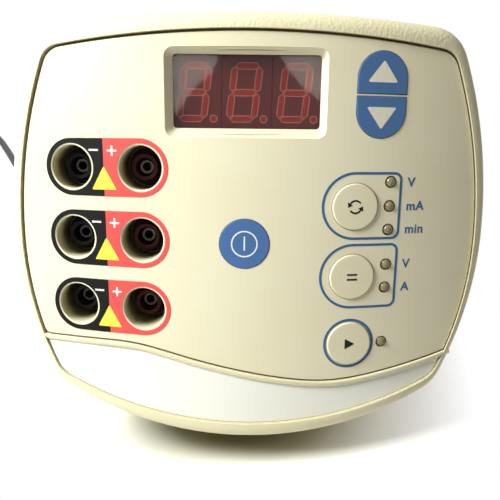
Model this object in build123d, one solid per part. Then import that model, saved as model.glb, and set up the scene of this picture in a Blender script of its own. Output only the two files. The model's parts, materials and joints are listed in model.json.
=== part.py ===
from build123d import *
import math
import os

# An electrophoresis power supply in millimetres: +Z up, front towards -Y, origin under its middle.
# The face has its own frame: u to the right, v up along the face, w out of the face.

# The case and its face
DEPTH = 232.0  # from the chin to the lip of the fuse drawer
LEAN_DEG = 20.0  # the face leans back from upright by this angle
WALL_SLOPE_DEG = 10.0  # the case walls run back and down by this angle
KEY_ROW_Z = 106.0  # height of the power key above the bench
FACE_RADIUS = 287.0  # crown of the face from side to side
WALL = 3.0
CASE_HALF_WIDTH = 111.0
CASE_TOP = 95.4  # from the power key up to the top of the lip
CASE_BOTTOM = 92.6  # from the power key down to the chin
WIDEST_V = 0.0
SIDE_UPPER_RADIUS = 201.0
SIDE_LOWER_RADIUS = 142.0
TOP_ARC_RADIUS = 700.0
BOTTOM_ARC_RADIUS = 228.0
CASE_TOP_CORNER = 20.0
CASE_BOTTOM_CORNER = 20.0
LIP_RADIUS = 7.0  # rounding of the front lip
LIP_RISE = 1.2  # the lip stands this far in front of the panel
LIP_SIDE = 5.1  # width of the lip beside the panel
LIP_TOP = 7.5
LIP_BOTTOM = 8.2
LIP_TOP_CORNER = 10.0
LIP_BOTTOM_CORNER = 14.0
FRAME_DEPTH = 62.0  # from the face back to the seam with the rear housing
WEB = 3.0  # thickness of the ledge behind the panel
LEDGE = 3.0  # width of the ledge behind the panel
PEG_PAD = 4.0  # the ledge widens to this radius round each peg
BASE_Z = 5.0  # underside of the housing

# Control panel
PANEL_THICKNESS = 3.0
PANEL_GAP = 0.9
PANEL_SHIFT = (0.5, -0.2)  # the panel sits a little to the right and low in its gap
PANEL_EDGE = 0.35
SEAM_GAP = 0.55
SEAM = [(-1.0, -47.9), (-0.8259, -47.6), (-0.6463, -47.3), (-0.4488, -48.0), (-0.3232, -50.9), (-0.1975, -54.5),
        (0.0808, -61.1), (0.3411, -64.0), (0.5566, -61.0), (0.8618, -53.5), (1.0, -48.9)]  # u as a share of its end
SEAM_OVERRUN = 0.4  # the seam's ends lie this far outside the case
SEAM_CORNER = 3.0
PEG_DIAMETER = 3.6
PEG_CLEARANCE = 0.15
PEG_LENGTH = 5.5
PEG_INSET = 5.3  # from the lip's inner edge to the upper and side pegs
TOP_PEGS_U = (-CASE_HALF_WIDTH + 49.0, CASE_HALF_WIDTH - 31.0)
LOW_PEG = (-8.0, -52.0)

# White trim on the chin, in a shallow pocket below a bead that runs along the panel
BEAD_RISE = 0.5  # the bead stands this far in front of the panel
TRIM_BAND = 2.6  # width of the bead between panel and trim
TRIM_GAP = 0.4
TRIM_THICKNESS = 2.0
TRIM_DROP = 0.4

# Display
DISPLAY_U = -1.05
DISPLAY_V = 63.6
BEZEL_SIZE = (67.6, 36.1)  # opening at the panel's face
BEZEL_SHIFT = (-0.35, -0.75)  # from the window's centre to the opening's
BEZEL_STEP = 2.2  # the opening's walls stand upright down to this depth
WINDOW_VIEW = (61.8, 29.8)  # opening at the window
WINDOW_DEPTH = 5.0
WINDOW_OVERLAP = 3.2
WINDOW_THICKNESS = 2.0
WINDOW_CLEARANCE = 0.2
BEZEL_CORNER = 4.0
VIEW_CORNER = 1.6
DIGIT_PITCH = 21.3
DIGIT_BODY = (21.0, 32.0, 10.0)
DIGIT_GAP = 0.5  # between window and digits
DIGIT_HEIGHT = 24.2
DIGIT_WIDTH = 13.1
DIGIT_SLANT_DEG = 6.5
SEGMENT_WIDTH = 2.6
SEGMENT_JOINT = 0.35
SEGMENT_THICKNESS = 0.2
DOT_DIAMETER = 2.4
DOT_GAP = 1.6  # from the digit's side to the dot's centre
DIGIT_SHIFT = -1.0  # the digits sit left of their bodies' middles, to leave room for the dots

# Keys: centre, and the diameter of the round ones
POWER_KEY = (-1.5, 0.0)
POWER_KEY_DIAMETER = 21.6
KEY_COLUMN = CASE_HALF_WIDTH - 64.7
ROUND_KEYS = {"set_key": (KEY_COLUMN, 16.2), "constant_key": (KEY_COLUMN, -15.0), "run_key": (KEY_COLUMN, -46.2)}
ROUND_KEY_DIAMETER = 20.3
ARROW_U = DISPLAY_U + 56.75
ARROW_V = 63.0
ARROW_WIDTH = 21.6
ARROW_HEIGHT = 35.2
ARROW_RIB = 0.7  # panel rib between the two arrow keys
KEY_GAP = 0.25
KEY_TRAVEL = 0.8
FLAT_KEY_RISE = 0.35
ROUND_KEY_RISE = 0.9
KEY_FLANGE = 1.4  # the flange behind the panel is wider than the key by this much all round
KEY_FLANGE_THICKNESS = 1.2
KEY_FLANGE_GAP = 0.3
STEM_DIAMETER = 4.0
PLUNGER_DIAMETER = 3.4
PLUNGER_CLEARANCE = 0.1
SWITCH_SIDE = 12.0
SWITCH_HEIGHT = 4.3
SWITCH_BORE_DEPTH = 3.0
PLUNGER_REACH = 1.9  # how far the resting plunger stands in its switch

# Indicator lamps, 5 mm round
LAMP_U = KEY_COLUMN + 15.55
LAMP_V = [26.9, 16.4, 6.0, -9.7, -20.3, -46.2]
LAMP_DIAMETER = 5.0
LAMP_CLEARANCE = 0.15
LAMP_RISE = 1.1
LAMP_FLANGE = 5.9

# Display board behind the panel
BOARD_THICKNESS = 1.6
FRONT_BOARD_CLEAR = 3.4  # from the positive wells' flanges to the board
FRONT_BOARD_RIGHT = CASE_HALF_WIDTH - 37.0
FRONT_BOARD_V = (-56.0, 76.0)
BOSS_DIAMETER = 6.4
SCREW_DIAMETER = 3.0
SCREW_HEAD = 5.6
SCREW_HEAD_HEIGHT = 2.0
BOARD_SCREW_LENGTH = 7.0
FRONT_BOSS_INSET = (5.0, 4.0)  # from the board's left and right edges
FRONT_BOSSES_V = ((33.0, -45.0), (37.0, -51.0))

# Output sockets, 4 mm with a touch-proof collar, deep in cream wells
SOCKET_U = {"negative": -CASE_HALF_WIDTH + 33.0, "positive": -CASE_HALF_WIDTH + 64.6}
SOCKET_V = [31.8, 0.5, -30.8]
WELL_BORE = 19.1
WELL_MOUTH = 0.4  # rounding of the mouth
WELL_WALL = 1.0
WELL_DEPTH = 21.0
WELL_FLOOR = 2.0
WELL_FLANGE = 24.0
WELL_FLANGE_THICKNESS = 1.6
WELL_CLEARANCE = 0.1
SOCKET_FLANGE = 17.5
SOCKET_FLANGE_THICKNESS = 1.5
COLLAR_OUTER = 11.6
COLLAR_BORE = 8.4
COLLAR_HEIGHT = 9.0
SHANK_DIAMETER = 12.0
SHANK_LENGTH = 13.0
CONTACT_OUTER = 6.0
CONTACT_BORE = 4.1
CONTACT_SETBACK = 5.0  # the contact ends this far below the collar's rim
CONTACT_BORE_DEPTH = 16.0
TAIL_DIAMETER = 3.0
TAIL_LENGTH = 6.0
NUT_ACROSS = 16.0
NUT_HEIGHT = 3.0

# Polarity labels round the sockets
LABEL_U = tuple(SOCKET_U["negative"] + step for step in (-12.4, 15.2, 43.7))  # left end, divide, right end
LABEL_HEIGHT = 24.8
LABEL_THICKNESS = 0.25
LABEL_REVEAL = 0.4  # the wells' rims show this wide within the labels' holes

# Rear housing
REAR_HALF_WIDTH = 86.0
REAR_TOP_Z = 158.0
REAR_BOTTOM_Z = 10.0
REAR_SIDE_RADIUS = 330.0
REAR_TOP_RADIUS = 500.0
REAR_BOTTOM_RADIUS = 900.0
REAR_CORNER = 18.0
REAR_EDGE = 6.0
PLINTH_HALF_WIDTH = 74.0
PLINTH_FRONT_Y = -DEPTH / 2 + 72.0
PLINTH_BACK_Y = DEPTH / 2 - 14.0
PLINTH_TOP_Z = 30.0
PLINTH_CORNER = 14.0
VENT_WIDTH = 3.0
VENT_PITCH = 7.0
SIDE_VENTS = 9
SIDE_VENT_Z = (52.0, 92.0)
SIDE_VENT_Y = 38.0
REAR_VENTS = 11
REAR_VENT_Z = (98.0, 138.0)
FOOT_DIAMETER = 18.0
FOOT_RECESS = 1.0
FOOT_X = 58.0
FOOT_Y = (PLINTH_FRONT_Y + 16.0, PLINTH_BACK_Y - 16.0)
POST_X = 70.0
POST_Z = 36.0
POST_DIAMETER = 10.0
WELL_SCREW_BORE = 9.0  # deep hole from the rear wall to each housing screw
WELL_TUBE = 13.0
HOUSING_SCREW_DIAMETER = 4.0
HOUSING_SCREW_LENGTH = 16.0
HOUSING_SCREW_HEAD = 7.6
HOUSING_SCREW_HEAD_HEIGHT = 2.6

# Mains inlet with fuse drawer, on the rear wall
INLET_X = -40.0
INLET_Z = 40.0
INLET_FLANGE = (50.0, 41.0, 2.5)
INLET_BODY = (28.0, 35.0, 24.0)
INLET_RECESS = (24.5, 17.0, 16.0)
INLET_RECESS_CORNER = 5.0
INLET_CENTRE_UP = 7.2  # the module's centre lies this far above the socket's centre
INLET_SCREW_SPACING = 40.0
INLET_SCREW_HEAD_HEIGHT = 1.2
PIN_SIZE = (2.0, 4.0)
PIN_STANDS = 11.5
PIN_TAIL = 8.0
PIN_PLACES = [(-7.0, -2.0), (0.0, 2.0), (7.0, -2.0)]
DRAWER_SIZE = (24.6, 7.4, 19.0)
DRAWER_UP = 16.6  # the drawer's centre lies this far above the socket's centre
DRAWER_CLEARANCE = 0.3
DRAWER_LIP = 1.2
FUSE_DIAMETER = 5.2
FUSE_LENGTH = 20.0
FUSE_BACK = 8.0  # from the drawer's front face to the fuse
PLATE_SIZE = (62.0, 34.0, 0.4)
PLATE_X = 30.0
PLATE_Z = 48.0

# Inside the housing
MAIN_BOARD_X = (-61.0, 13.0)
MAIN_BOARD_Y = (-30.0, 84.0)
STANDOFF_HEIGHT = 8.0
STANDOFF_DIAMETER = 6.5
STANDOFF_INSET = 5.0
CORE_SIZE = (30.0, 66.0, 54.0)
CORE_CENTRE = (38.5, 28.0)
CORE_WINDOW_HEIGHT = 34.0
CORE_LIFT = 6.0
COIL_WALL = 9.0
BRACKET_THICKNESS = 1.5
SINK_SIZE = (18.0, 66.0, 36.0)
SINK_X = -50.0
SINK_Y = 22.0
SINK_FINS = 8
FIN_THICKNESS = 1.8
SINK_BASE = 5.0
TRANSISTOR_SIZE = (4.6, 10.0, 15.0)
TRANSISTORS = 4
RECTIFIER_SIZE = (22.0, 5.0, 18.0)
RECTIFIER_PLACE = (-5.0, 52.0)
CAPACITOR_DIAMETER = 25.0
CAPACITOR_HEIGHT = 38.0
CAPACITOR_PLACES = [(-5.0, -2.0), (-5.0, 28.0)]
RELAY_SIZE = (12.5, 22.0, 15.0)
RELAY_PLACES = [(-28.0, -2.0), (-28.0, 24.0)]
WIRE_DIAMETER = 2.4
WIRE_PITCH = 5.0
WIRE_HEADER_X = -34.0
MAINS_DROP = 4.3  # the mains wires go down this far in front of the inlet's tags
HEADER_STEP = 10.0  # from the mains wires to the output wires' header
RIBBON_WIDTH = 24.0
RIBBON_THICKNESS = 0.9
RIBBON_INSET = 2.0  # from the display board's left edge
RIBBON_V = -30.0
RIBBON_RUN = 14.0  # straight out of the display board's back
RIBBON_END_INSET = 5.0  # from the main board's front edge

# Mains lead
LEAD_DIAMETER = 7.0
HEAD_CLEARANCE = 0.4
GRIP_GAP = 1.7  # between the inlet's face and the connector's grip
CONNECTOR_BODY = (27.0, 20.5, 24.0)
CONNECTOR_REAR = (15.0, 13.0)
RELIEF_LENGTH = 30.0
RELIEF_DIAMETER = 12.0
COIL_CENTRE = (-85.6, 283.0)
COIL_OUTER_TURN = 47.6
COIL_PITCH = 7.7
COIL_LIFT = 7.5  # from the lower layer of turns up to the upper
COIL_HALF_TURNS = 5  # in each layer, besides the half turn that climbs
TIE_THICKNESS = 1.0
TIE_WIDTH = 11.0
TIE_CLEARANCE = 0.2
LEAD_START = [(-40.0, 188.0, 40.0), (-39.7, 212.0, 29.5), (-38.6, 236.0, 12.5), (-38.0, 257.0, 4.7)]
LEAD_END = [(-133.2, 261.0, 12.2), (-133.7, 237.0, 7.6), (-134.6, 216.0, 4.0), (-137.0, 195.5, 3.5),
            (-147.3, 177.2, 3.5),
            (-165.3, 166.4, 3.5), (-186.4, 165.7, 3.5), (-204.8, 175.6, 3.5), (-224.0, 206.0, 3.5),
            (-252.5, 249.0, 3.5), (-278.5, 291.0, 3.5), (-309.0, 338.0, 3.6), (-330.0, 356.5, 9.0)]
PLUG_POINT = (-344.0, 363.6, 9.0)
PLUG_TAIL = 16.0
PLUG_BODY = (25.0, 18.0, 28.0)
BLADE_SIZE = (1.5, 6.3, 17.0)
BLADE_SPACING = 12.7
GROUND_DIAMETER = 4.8
GROUND_DROP = 11.9 - 6.2

# Derived places
LEAN = math.radians(LEAN_DEG)
WALL_SLOPE = math.radians(WALL_SLOPE_DEG)
SKEW = LEAN - WALL_SLOPE
INLET_Y = DEPTH / 2 - DRAWER_LIP
REAR_Y = INLET_Y - INLET_FLANGE[2]
CHIN_V = -CASE_BOTTOM - LIP_RISE * math.tan(SKEW) + LIP_RADIUS / math.cos(SKEW)
CHIN_W = LIP_RISE - LIP_RADIUS
FACE_Y = -DEPTH / 2 + LIP_RADIUS + CHIN_W * math.cos(LEAN) - CHIN_V * math.sin(LEAN)
FACE = Plane(origin=(0, FACE_Y, KEY_ROW_Z), x_dir=(1, 0, 0), z_dir=(0, -math.cos(LEAN), math.sin(LEAN)))
PANEL_BACK = FACE_RADIUS - PANEL_THICKNESS
WEB_BACK = PANEL_BACK - WEB
WINDOW_W = -WINDOW_DEPTH
DIGIT_W = WINDOW_W - WINDOW_THICKNESS - DIGIT_GAP
FRONT_BOARD_W = DIGIT_W - DIGIT_BODY[2] - SEGMENT_THICKNESS
MAIN_BOARD_Z = BASE_Z + WALL + STANDOFF_HEIGHT
FAR = 150.0
FRONT_BOARD_U = (SOCKET_U["positive"] + WELL_FLANGE / 2 + FRONT_BOARD_CLEAR, FRONT_BOARD_RIGHT)
FRONT_BOSSES = [(u, v) for u, column in zip((FRONT_BOARD_U[0] + FRONT_BOSS_INSET[0],
                                             FRONT_BOARD_U[1] - FRONT_BOSS_INSET[1]), FRONT_BOSSES_V)
                for v in column]
TAG_Y = INLET_Y - INLET_FLANGE[2] - INLET_BODY[2] - PIN_TAIL

nodes = {}


def surface(u, radius=FACE_RADIUS):
    """Height w of the crowned face at u."""
    return math.sqrt(radius**2 - u**2) - FACE_RADIUS


def on_face(shape):
    """Takes a shape from the face's frame to the model's."""
    return FACE.location * shape


def prism(face, low, high):
    return Pos(0, 0, low) * extrude(face, high - low)


def pegs():
    """Where the panel's pegs sit in the frame's ledge."""
    lip_u = CASE_HALF_WIDTH - LIP_SIDE - PEG_INSET
    top = CASE_TOP - LIP_TOP - PEG_INSET - TOP_ARC_RADIUS
    upper = [(u, top + math.sqrt(TOP_ARC_RADIUS**2 - u**2)) for u in TOP_PEGS_U]
    return upper + [(-lip_u, WIDEST_V), (lip_u, WIDEST_V), LOW_PEG]


def drum(radius):
    """Everything behind the crowned surface of this radius."""
    return Pos(0, 0, -FACE_RADIUS) * Rot(90, 0, 0) * Cylinder(radius, 3 * FAR)


def crowned(face, outer, inner):
    """The part of a straight prism between two crowned surfaces."""
    return (prism(face, -FAR / 2, FAR / 8) & drum(outer)) - drum(inner)


def rod(u, v, low, high, diameter):
    return Pos(u, v, (low + high) / 2) * Cylinder(diameter / 2, high - low)


def block(x_range, y_range, z_range):
    size = [b - a for a, b in (x_range, y_range, z_range)]
    centre = [(a + b) / 2 for a, b in (x_range, y_range, z_range)]
    return Pos(*centre) * Box(*size)


def group(shapes):
    return Compound(children=[s if isinstance(s, Solid) else s.solid() for s in shapes])


def crossing(centre_a, radius_a, centre_b, radius_b, towards):
    """Where two circles cross, on the side that towards points to."""
    apart = Vector(*centre_b) - Vector(*centre_a)
    along = (apart.length**2 + radius_a**2 - radius_b**2) / (2 * apart.length)
    across = math.sqrt(radius_a**2 - along**2)
    foot = Vector(*centre_a) + apart.normalized() * along
    step = Vector(-apart.Y, apart.X).normalized() * across
    return max((foot + step, foot - step), key=lambda p: p.X * towards[0] + p.Y * towards[1])


def arc(start, end, centre, radius):
    middle = (start + end) / 2 - Vector(*centre)
    return ThreePointArc(start, Vector(*centre) + middle.normalized() * radius, end)


def outline(half_width, top, bottom, radii, corners, widest=WIDEST_V):
    """A closed outline of six arcs: radii are top, bottom, upper side and lower side."""
    top_r, bottom_r, upper_r, lower_r = radii
    top_c, bottom_c = (0, top - top_r), (0, bottom_r - bottom)
    upper_c, lower_c = (half_width - upper_r, widest), (half_width - lower_r, widest)
    high = crossing(top_c, top_r, upper_c, upper_r, (1, 1))
    low = crossing(bottom_c, bottom_r, lower_c, lower_r, (1, -1))
    side = Vector(half_width, widest)
    right = [arc(low, side, lower_c, lower_r), arc(side, high, upper_c, upper_r)]
    left = [mirror(edge, about=Plane.YZ) for edge in right]
    across_top = ThreePointArc(high, (0, top), (-high.X, high.Y))
    across_bottom = ThreePointArc((-low.X, low.Y), (0, -bottom), low)
    face = make_face([across_bottom, *right, across_top, *left])
    face = fillet(face.vertices().filter_by(lambda p: p.Y > widest + 20), corners[0])
    return fillet(face.vertices().filter_by(lambda p: p.Y < widest - 20), corners[1])


def case_outline(inset=0.0, top_corner=CASE_TOP_CORNER, bottom_corner=CASE_BOTTOM_CORNER):
    radii = [r - inset for r in (TOP_ARC_RADIUS, BOTTOM_ARC_RADIUS, SIDE_UPPER_RADIUS, SIDE_LOWER_RADIUS)]
    corners = (top_corner - inset, bottom_corner - inset)
    return outline(CASE_HALF_WIDTH - inset, CASE_TOP - inset, CASE_BOTTOM - inset, radii, corners)


def lip_outline(inset=0.0):
    """Inner edge of the lip, drawn in by inset."""
    side, top, bottom = LIP_SIDE + inset, LIP_TOP + inset, LIP_BOTTOM + inset
    radii = (TOP_ARC_RADIUS - top, BOTTOM_ARC_RADIUS - bottom, SIDE_UPPER_RADIUS - side,
             SIDE_LOWER_RADIUS - side)
    corners = (LIP_TOP_CORNER - inset * 0.4, LIP_BOTTOM_CORNER - inset * 0.4)
    return outline(CASE_HALF_WIDTH - side, CASE_TOP - top, CASE_BOTTOM - bottom, radii, corners)


def seam_side(shift, towards):
    """The half of the face above (towards 1) or below (towards -1) the panel's lower seam."""
    end_u = CASE_HALF_WIDTH + SEAM_OVERRUN
    points = [(u * end_u, v + shift) for u, v in SEAM]
    start, end = points[0], points[-1]
    corners = [end, (end[0], towards * FAR), (start[0], towards * FAR), start]
    return make_face([Spline(points), Polyline(corners)])


def rounded(width, height, corner, u=0.0, v=0.0):
    return Pos(u, v) * RectangleRounded(width, height, corner)


def panel_outline():
    shifted = Pos(*PANEL_SHIFT) * lip_outline(PANEL_GAP)
    face = (shifted & seam_side(SEAM_GAP, 1)).faces()[0]
    return fillet(seam_corners(face), SEAM_CORNER)


def seam_corners(face):
    """The two sharp corners where the seam meets the sides."""
    return face.vertices().filter_by(lambda p: p.Y < WIDEST_V - 20 and abs(p.X) > CASE_HALF_WIDTH / 2)


def arrow_half(way, grow=0.0):
    """Outline of the up (way 1) or down (way -1) arrow key, grown all round."""
    pill = Pos(ARROW_U, ARROW_V) * SlotOverall(ARROW_HEIGHT + 2 * grow, ARROW_WIDTH + 2 * grow, rotation=90)
    start = ARROW_RIB / 2 + KEY_GAP - grow
    half = Pos(ARROW_U, ARROW_V + way * (start + FAR / 2)) * Rectangle(FAR, FAR)
    return pill & half


def key_outline(name, grow=0.0):
    if name == "up_key":
        return arrow_half(1, grow)
    if name == "down_key":
        return arrow_half(-1, grow)
    if name == "power_key":
        return Pos(*POWER_KEY) * Circle(POWER_KEY_DIAMETER / 2 + grow)
    return Pos(*ROUND_KEYS[name]) * Circle(ROUND_KEY_DIAMETER / 2 + grow)


def key_centre(name):
    centres = {"power_key": POWER_KEY, **ROUND_KEYS}
    quarter = ARROW_HEIGHT / 4
    centres.update(up_key=(ARROW_U, ARROW_V + quarter), down_key=(ARROW_U, ARROW_V - quarter))
    return centres[name]


KEYS = ["power_key", "up_key", "down_key", *ROUND_KEYS]


# Front frame

def skewed(face, depth, start=8.0):
    """A prism whose walls slope back and down as the case does, from start in front of the face."""
    lift = (start + LIP_RADIUS) * math.tan(SKEW)
    reach = (depth + start) / math.cos(SKEW)
    placed = Pos(0, -lift, start) * face
    return extrude(placed, reach, dir=(0, math.sin(SKEW), -math.cos(SKEW)))


def front_post(x):
    """Post from the chin back to the rear housing, for a housing screw."""
    low = Pos(x, 0, POST_Z) * Rot(90, 0, 0) * Cylinder(POST_DIAMETER / 2, 2 * FAR)
    return FACE.location.inverse() * low


def front_frame():
    body = skewed(case_outline(), FRAME_DEPTH) & drum(FACE_RADIUS + LIP_RISE)
    front = body.faces().sort_by_distance((0, 0, LIP_RISE))[0]
    body = fillet(front.edges(), LIP_RADIUS)
    cavity = skewed(case_outline(WALL), FRAME_DEPTH + 10) & drum(WEB_BACK)
    shell = body - cavity
    within = skewed(case_outline(WALL / 2), FRAME_DEPTH) & drum(WEB_BACK + WEB / 2)
    for x in (-POST_X, POST_X):
        shell += front_post(x) & within
    shell -= prism(lip_outline(), -FAR / 2, FAR / 8) - drum(FACE_RADIUS + BEAD_RISE)
    shell -= prism(lip_outline() & seam_side(0, 1), -FAR / 2, FAR / 8) - drum(PANEL_BACK)
    shell -= prism(trim_outline(-TRIM_GAP / 2), -FAR / 2, FAR / 8) - drum(trim_radius() - TRIM_THICKNESS)
    opening = prism(lip_outline(LEDGE) & seam_side(LEDGE, 1), -FAR / 2, FAR / 8)
    for u, v in pegs():
        opening -= rod(u, v, -FAR / 2, FAR / 8, 2 * PEG_PAD)
    shell -= opening
    for u, v in pegs():
        shell -= rod(u, v, -FAR / 3, FAR / 8, PEG_DIAMETER + 2 * PEG_CLEARANCE)
    for x in (-POST_X, POST_X):
        y = parting_y(POST_Z)
        hole = screw_well(x, HOUSING_SCREW_DIAMETER, y - HOUSING_SCREW_LENGTH, y + HOUSING_SCREW_LENGTH)
        shell -= FACE.location.inverse() * hole
    return shell


def parting_y(z):
    """Where the seam with the rear housing stands at this height."""
    return FACE_Y + (FRAME_DEPTH + (z - KEY_ROW_Z) * math.sin(LEAN)) / math.cos(LEAN)


def trim_radius():
    return FACE_RADIUS - TRIM_DROP


def trim_outline(inset=0.0):
    return lip_outline(TRIM_GAP + inset) & seam_side(-TRIM_BAND - inset, -1)


# Control panel and what it carries

def bezel(margin, low, high):
    """The display opening's slope: wide in front and drawn in towards the window."""
    sections = []
    for w in (low, high):
        share = (w + WINDOW_DEPTH) / (WINDOW_DEPTH - BEZEL_STEP)
        size = [a + (b - a) * share + 2 * margin for a, b in zip(WINDOW_VIEW, BEZEL_SIZE)]
        corner = VIEW_CORNER + (BEZEL_CORNER - VIEW_CORNER) * share + margin
        u, v = (a + b * share for a, b in zip((DISPLAY_U, DISPLAY_V), BEZEL_SHIFT))
        sections.append(Pos(u, v, w) * RectangleRounded(*size, corner))
    return loft(sections)


def bezel_mouth():
    """The display opening's upright upper walls."""
    centre = (DISPLAY_U + BEZEL_SHIFT[0], DISPLAY_V + BEZEL_SHIFT[1])
    return prism(rounded(*BEZEL_SIZE, BEZEL_CORNER, *centre), -BEZEL_STEP, FAR / 8)


def control_panel():
    body = crowned(panel_outline(), FACE_RADIUS, PANEL_BACK)
    front = body.faces().sort_by_distance((0, 0, 0))[0]
    body = fillet(front.edges(), PANEL_EDGE)
    body -= bezel_mouth()
    body += bezel(WINDOW_OVERLAP, WINDOW_W, surface(BEZEL_SIZE[0] / 2) - PANEL_THICKNESS / 2)
    for u, v in FRONT_BOSSES:
        body += rod(u, v, FRONT_BOARD_W, surface(u) - PANEL_THICKNESS / 2, BOSS_DIAMETER)
        body -= rod(u, v, FRONT_BOARD_W, FRONT_BOARD_W + BOARD_SCREW_LENGTH - BOARD_THICKNESS, SCREW_DIAMETER)
    for u, v in pegs():
        body += rod(u, v, surface(u, PANEL_BACK) - PEG_LENGTH, surface(u) - PANEL_THICKNESS / 2, PEG_DIAMETER)
    body -= bezel(0, WINDOW_W, -BEZEL_STEP)
    body -= window_plan(WINDOW_CLEARANCE, WINDOW_W - 2 * WINDOW_THICKNESS)
    for name in KEYS:
        body -= prism(key_outline(name, KEY_GAP), -FAR / 8, FAR / 8)
    for v in LAMP_V:
        body -= rod(LAMP_U, v, -FAR / 8, FAR / 8, LAMP_DIAMETER + 2 * LAMP_CLEARANCE)
    for u in SOCKET_U.values():
        for v in SOCKET_V:
            body -= rod(u, v, -FAR / 4, FAR / 8, WELL_BORE + 2 * (WELL_WALL + WELL_CLEARANCE))
    return body


def window_plan(grow, low):
    """Slab of the window's outline, grown all round, up to the window's face."""
    width, height = (s + 2 * (WINDOW_OVERLAP - WINDOW_CLEARANCE + grow) for s in WINDOW_VIEW)
    return prism(rounded(width, height, VIEW_CORNER, DISPLAY_U, DISPLAY_V), low, WINDOW_W)


def display_window():
    return window_plan(0, WINDOW_W - WINDOW_THICKNESS)


def digit_places():
    return [DISPLAY_U + k * DIGIT_PITCH for k in (-1, 0, 1)]


def digit_modules():
    width, height, depth = DIGIT_BODY
    low = DIGIT_W - SEGMENT_THICKNESS - depth
    return group([prism(rounded(width, height, 0.8, u, DISPLAY_V), low, low + depth) for u in digit_places()])


def segment(start, end):
    """A bar with pointed ends between two corners of a digit."""
    a, b = Vector(*start), Vector(*end)
    along = (b - a).normalized()
    across = Vector(-along.Y, along.X) * SEGMENT_WIDTH / 2
    a, b = a + along * SEGMENT_JOINT, b - along * SEGMENT_JOINT
    point = along * SEGMENT_WIDTH / 2
    corners = [a, a + point + across, b - point + across, b, b - point - across, a + point - across]
    return make_face(Polyline(*corners, close=True))


def digit_faces():
    """The seven segments and the dot of one digit, upright round its own centre."""
    x, y = (DIGIT_WIDTH - SEGMENT_WIDTH) / 2, (DIGIT_HEIGHT - SEGMENT_WIDTH) / 2
    bars = [((-x, y), (x, y)), ((-x, 0), (x, 0)), ((-x, -y), (x, -y))]
    bars += [((s * x, 0), (s * x, h * y)) for s in (-1, 1) for h in (-1, 1)]
    lean = math.tan(math.radians(DIGIT_SLANT_DEG))
    slanted = [[(px + lean * py, py) for px, py in bar] for bar in bars]
    return [segment(*bar) for bar in slanted] + [Pos(DIGIT_WIDTH / 2 + DOT_GAP, -y) * Circle(DOT_DIAMETER / 2)]


def digit_segments():
    faces = digit_faces()
    low = DIGIT_W - SEGMENT_THICKNESS
    places = [(Pos(u + DIGIT_SHIFT, DISPLAY_V) * face) for u in digit_places() for face in faces]
    return group([prism(face, low, DIGIT_W) for face in places])


def display_board():
    board = block(FRONT_BOARD_U, FRONT_BOARD_V, (FRONT_BOARD_W - BOARD_THICKNESS, FRONT_BOARD_W))
    for u, v in FRONT_BOSSES:
        board -= rod(u, v, -FAR, FAR, SCREW_DIAMETER + 0.4)
    return board


def lamp(v):
    tip = surface(LAMP_U) + LAMP_RISE
    shoulder = tip - LAMP_DIAMETER / 2
    flange = surface(LAMP_U, PANEL_BACK) - 1.0
    body = rod(LAMP_U, v, FRONT_BOARD_W, shoulder, LAMP_DIAMETER)
    body += Pos(LAMP_U, v, shoulder) * Sphere(LAMP_DIAMETER / 2)
    return body + rod(LAMP_U, v, FRONT_BOARD_W, flange, LAMP_FLANGE)


def key_cap(name):
    rise = ROUND_KEY_RISE if name in ROUND_KEYS else FLAT_KEY_RISE
    u, v = key_centre(name)
    flange_front = PANEL_BACK - KEY_FLANGE_GAP
    flange_back = flange_front - KEY_FLANGE_THICKNESS
    body = crowned(key_outline(name), FACE_RADIUS + rise, flange_back)
    front = body.faces().sort_by_distance((u, v, surface(u) + rise))[0]
    body = fillet(front.edges(), rise * 0.8)
    wide = KEY_FLANGE if name in ROUND_KEYS or name == "power_key" else -KEY_GAP / 2
    body += crowned(key_outline(name, wide), flange_front, flange_back)
    return body + rod(u, v, stem_end(), surface(u, flange_back) + KEY_FLANGE_THICKNESS / 2, STEM_DIAMETER)


def switch_top():
    return FRONT_BOARD_W + SWITCH_HEIGHT


def stem_end():
    return switch_top() + KEY_TRAVEL + 0.3


def key_plunger(name):
    u, v = key_centre(name)
    return rod(u, v, switch_top() - PLUNGER_REACH, stem_end(), PLUNGER_DIAMETER)


def key_switches():
    bodies = []
    for name in KEYS:
        u, v = key_centre(name)
        body = prism(rounded(SWITCH_SIDE, SWITCH_SIDE, 1.0, u, v), FRONT_BOARD_W, switch_top())
        bore = PLUNGER_DIAMETER + 2 * PLUNGER_CLEARANCE
        bodies.append(body - rod(u, v, switch_top() - SWITCH_BORE_DEPTH, switch_top(), bore))
    return group(bodies)


# Output sockets

def floor_w(u):
    """Inside floor of the wells in this column."""
    return surface(u) - WELL_DEPTH


def well(u, v):
    outer = WELL_BORE + 2 * WELL_WALL
    base = floor_w(u) - WELL_FLOOR
    tube = prism(Pos(u, v) * Circle(outer / 2), base, FAR / 8) & drum(FACE_RADIUS)
    flange_top = PANEL_BACK
    flange = crowned(Pos(u, v) * Circle(WELL_FLANGE / 2), flange_top, flange_top - WELL_FLANGE_THICKNESS)
    tube += flange
    tube -= rod(u, v, floor_w(u), FAR / 8, WELL_BORE)
    middle = u + (WELL_BORE + WELL_WALL) / 2
    rim = tube.faces().sort_by_distance((middle, v, surface(middle)))[0]
    tube = fillet(rim.inner_wires()[0].edges(), WELL_MOUTH)
    return tube - rod(u, v, -FAR, FAR, SHANK_DIAMETER + 2 * WELL_CLEARANCE)


def socket_body(u, v):
    floor = floor_w(u)
    top = floor + SOCKET_FLANGE_THICKNESS
    body = rod(u, v, floor, top, SOCKET_FLANGE)
    body += rod(u, v, floor - SHANK_LENGTH, top + COLLAR_HEIGHT, COLLAR_OUTER)
    body += rod(u, v, floor - SHANK_LENGTH, floor, SHANK_DIAMETER)
    body -= rod(u, v, top, top + COLLAR_HEIGHT, COLLAR_BORE)
    return body - rod(u, v, floor - SHANK_LENGTH, top, CONTACT_OUTER)


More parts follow.
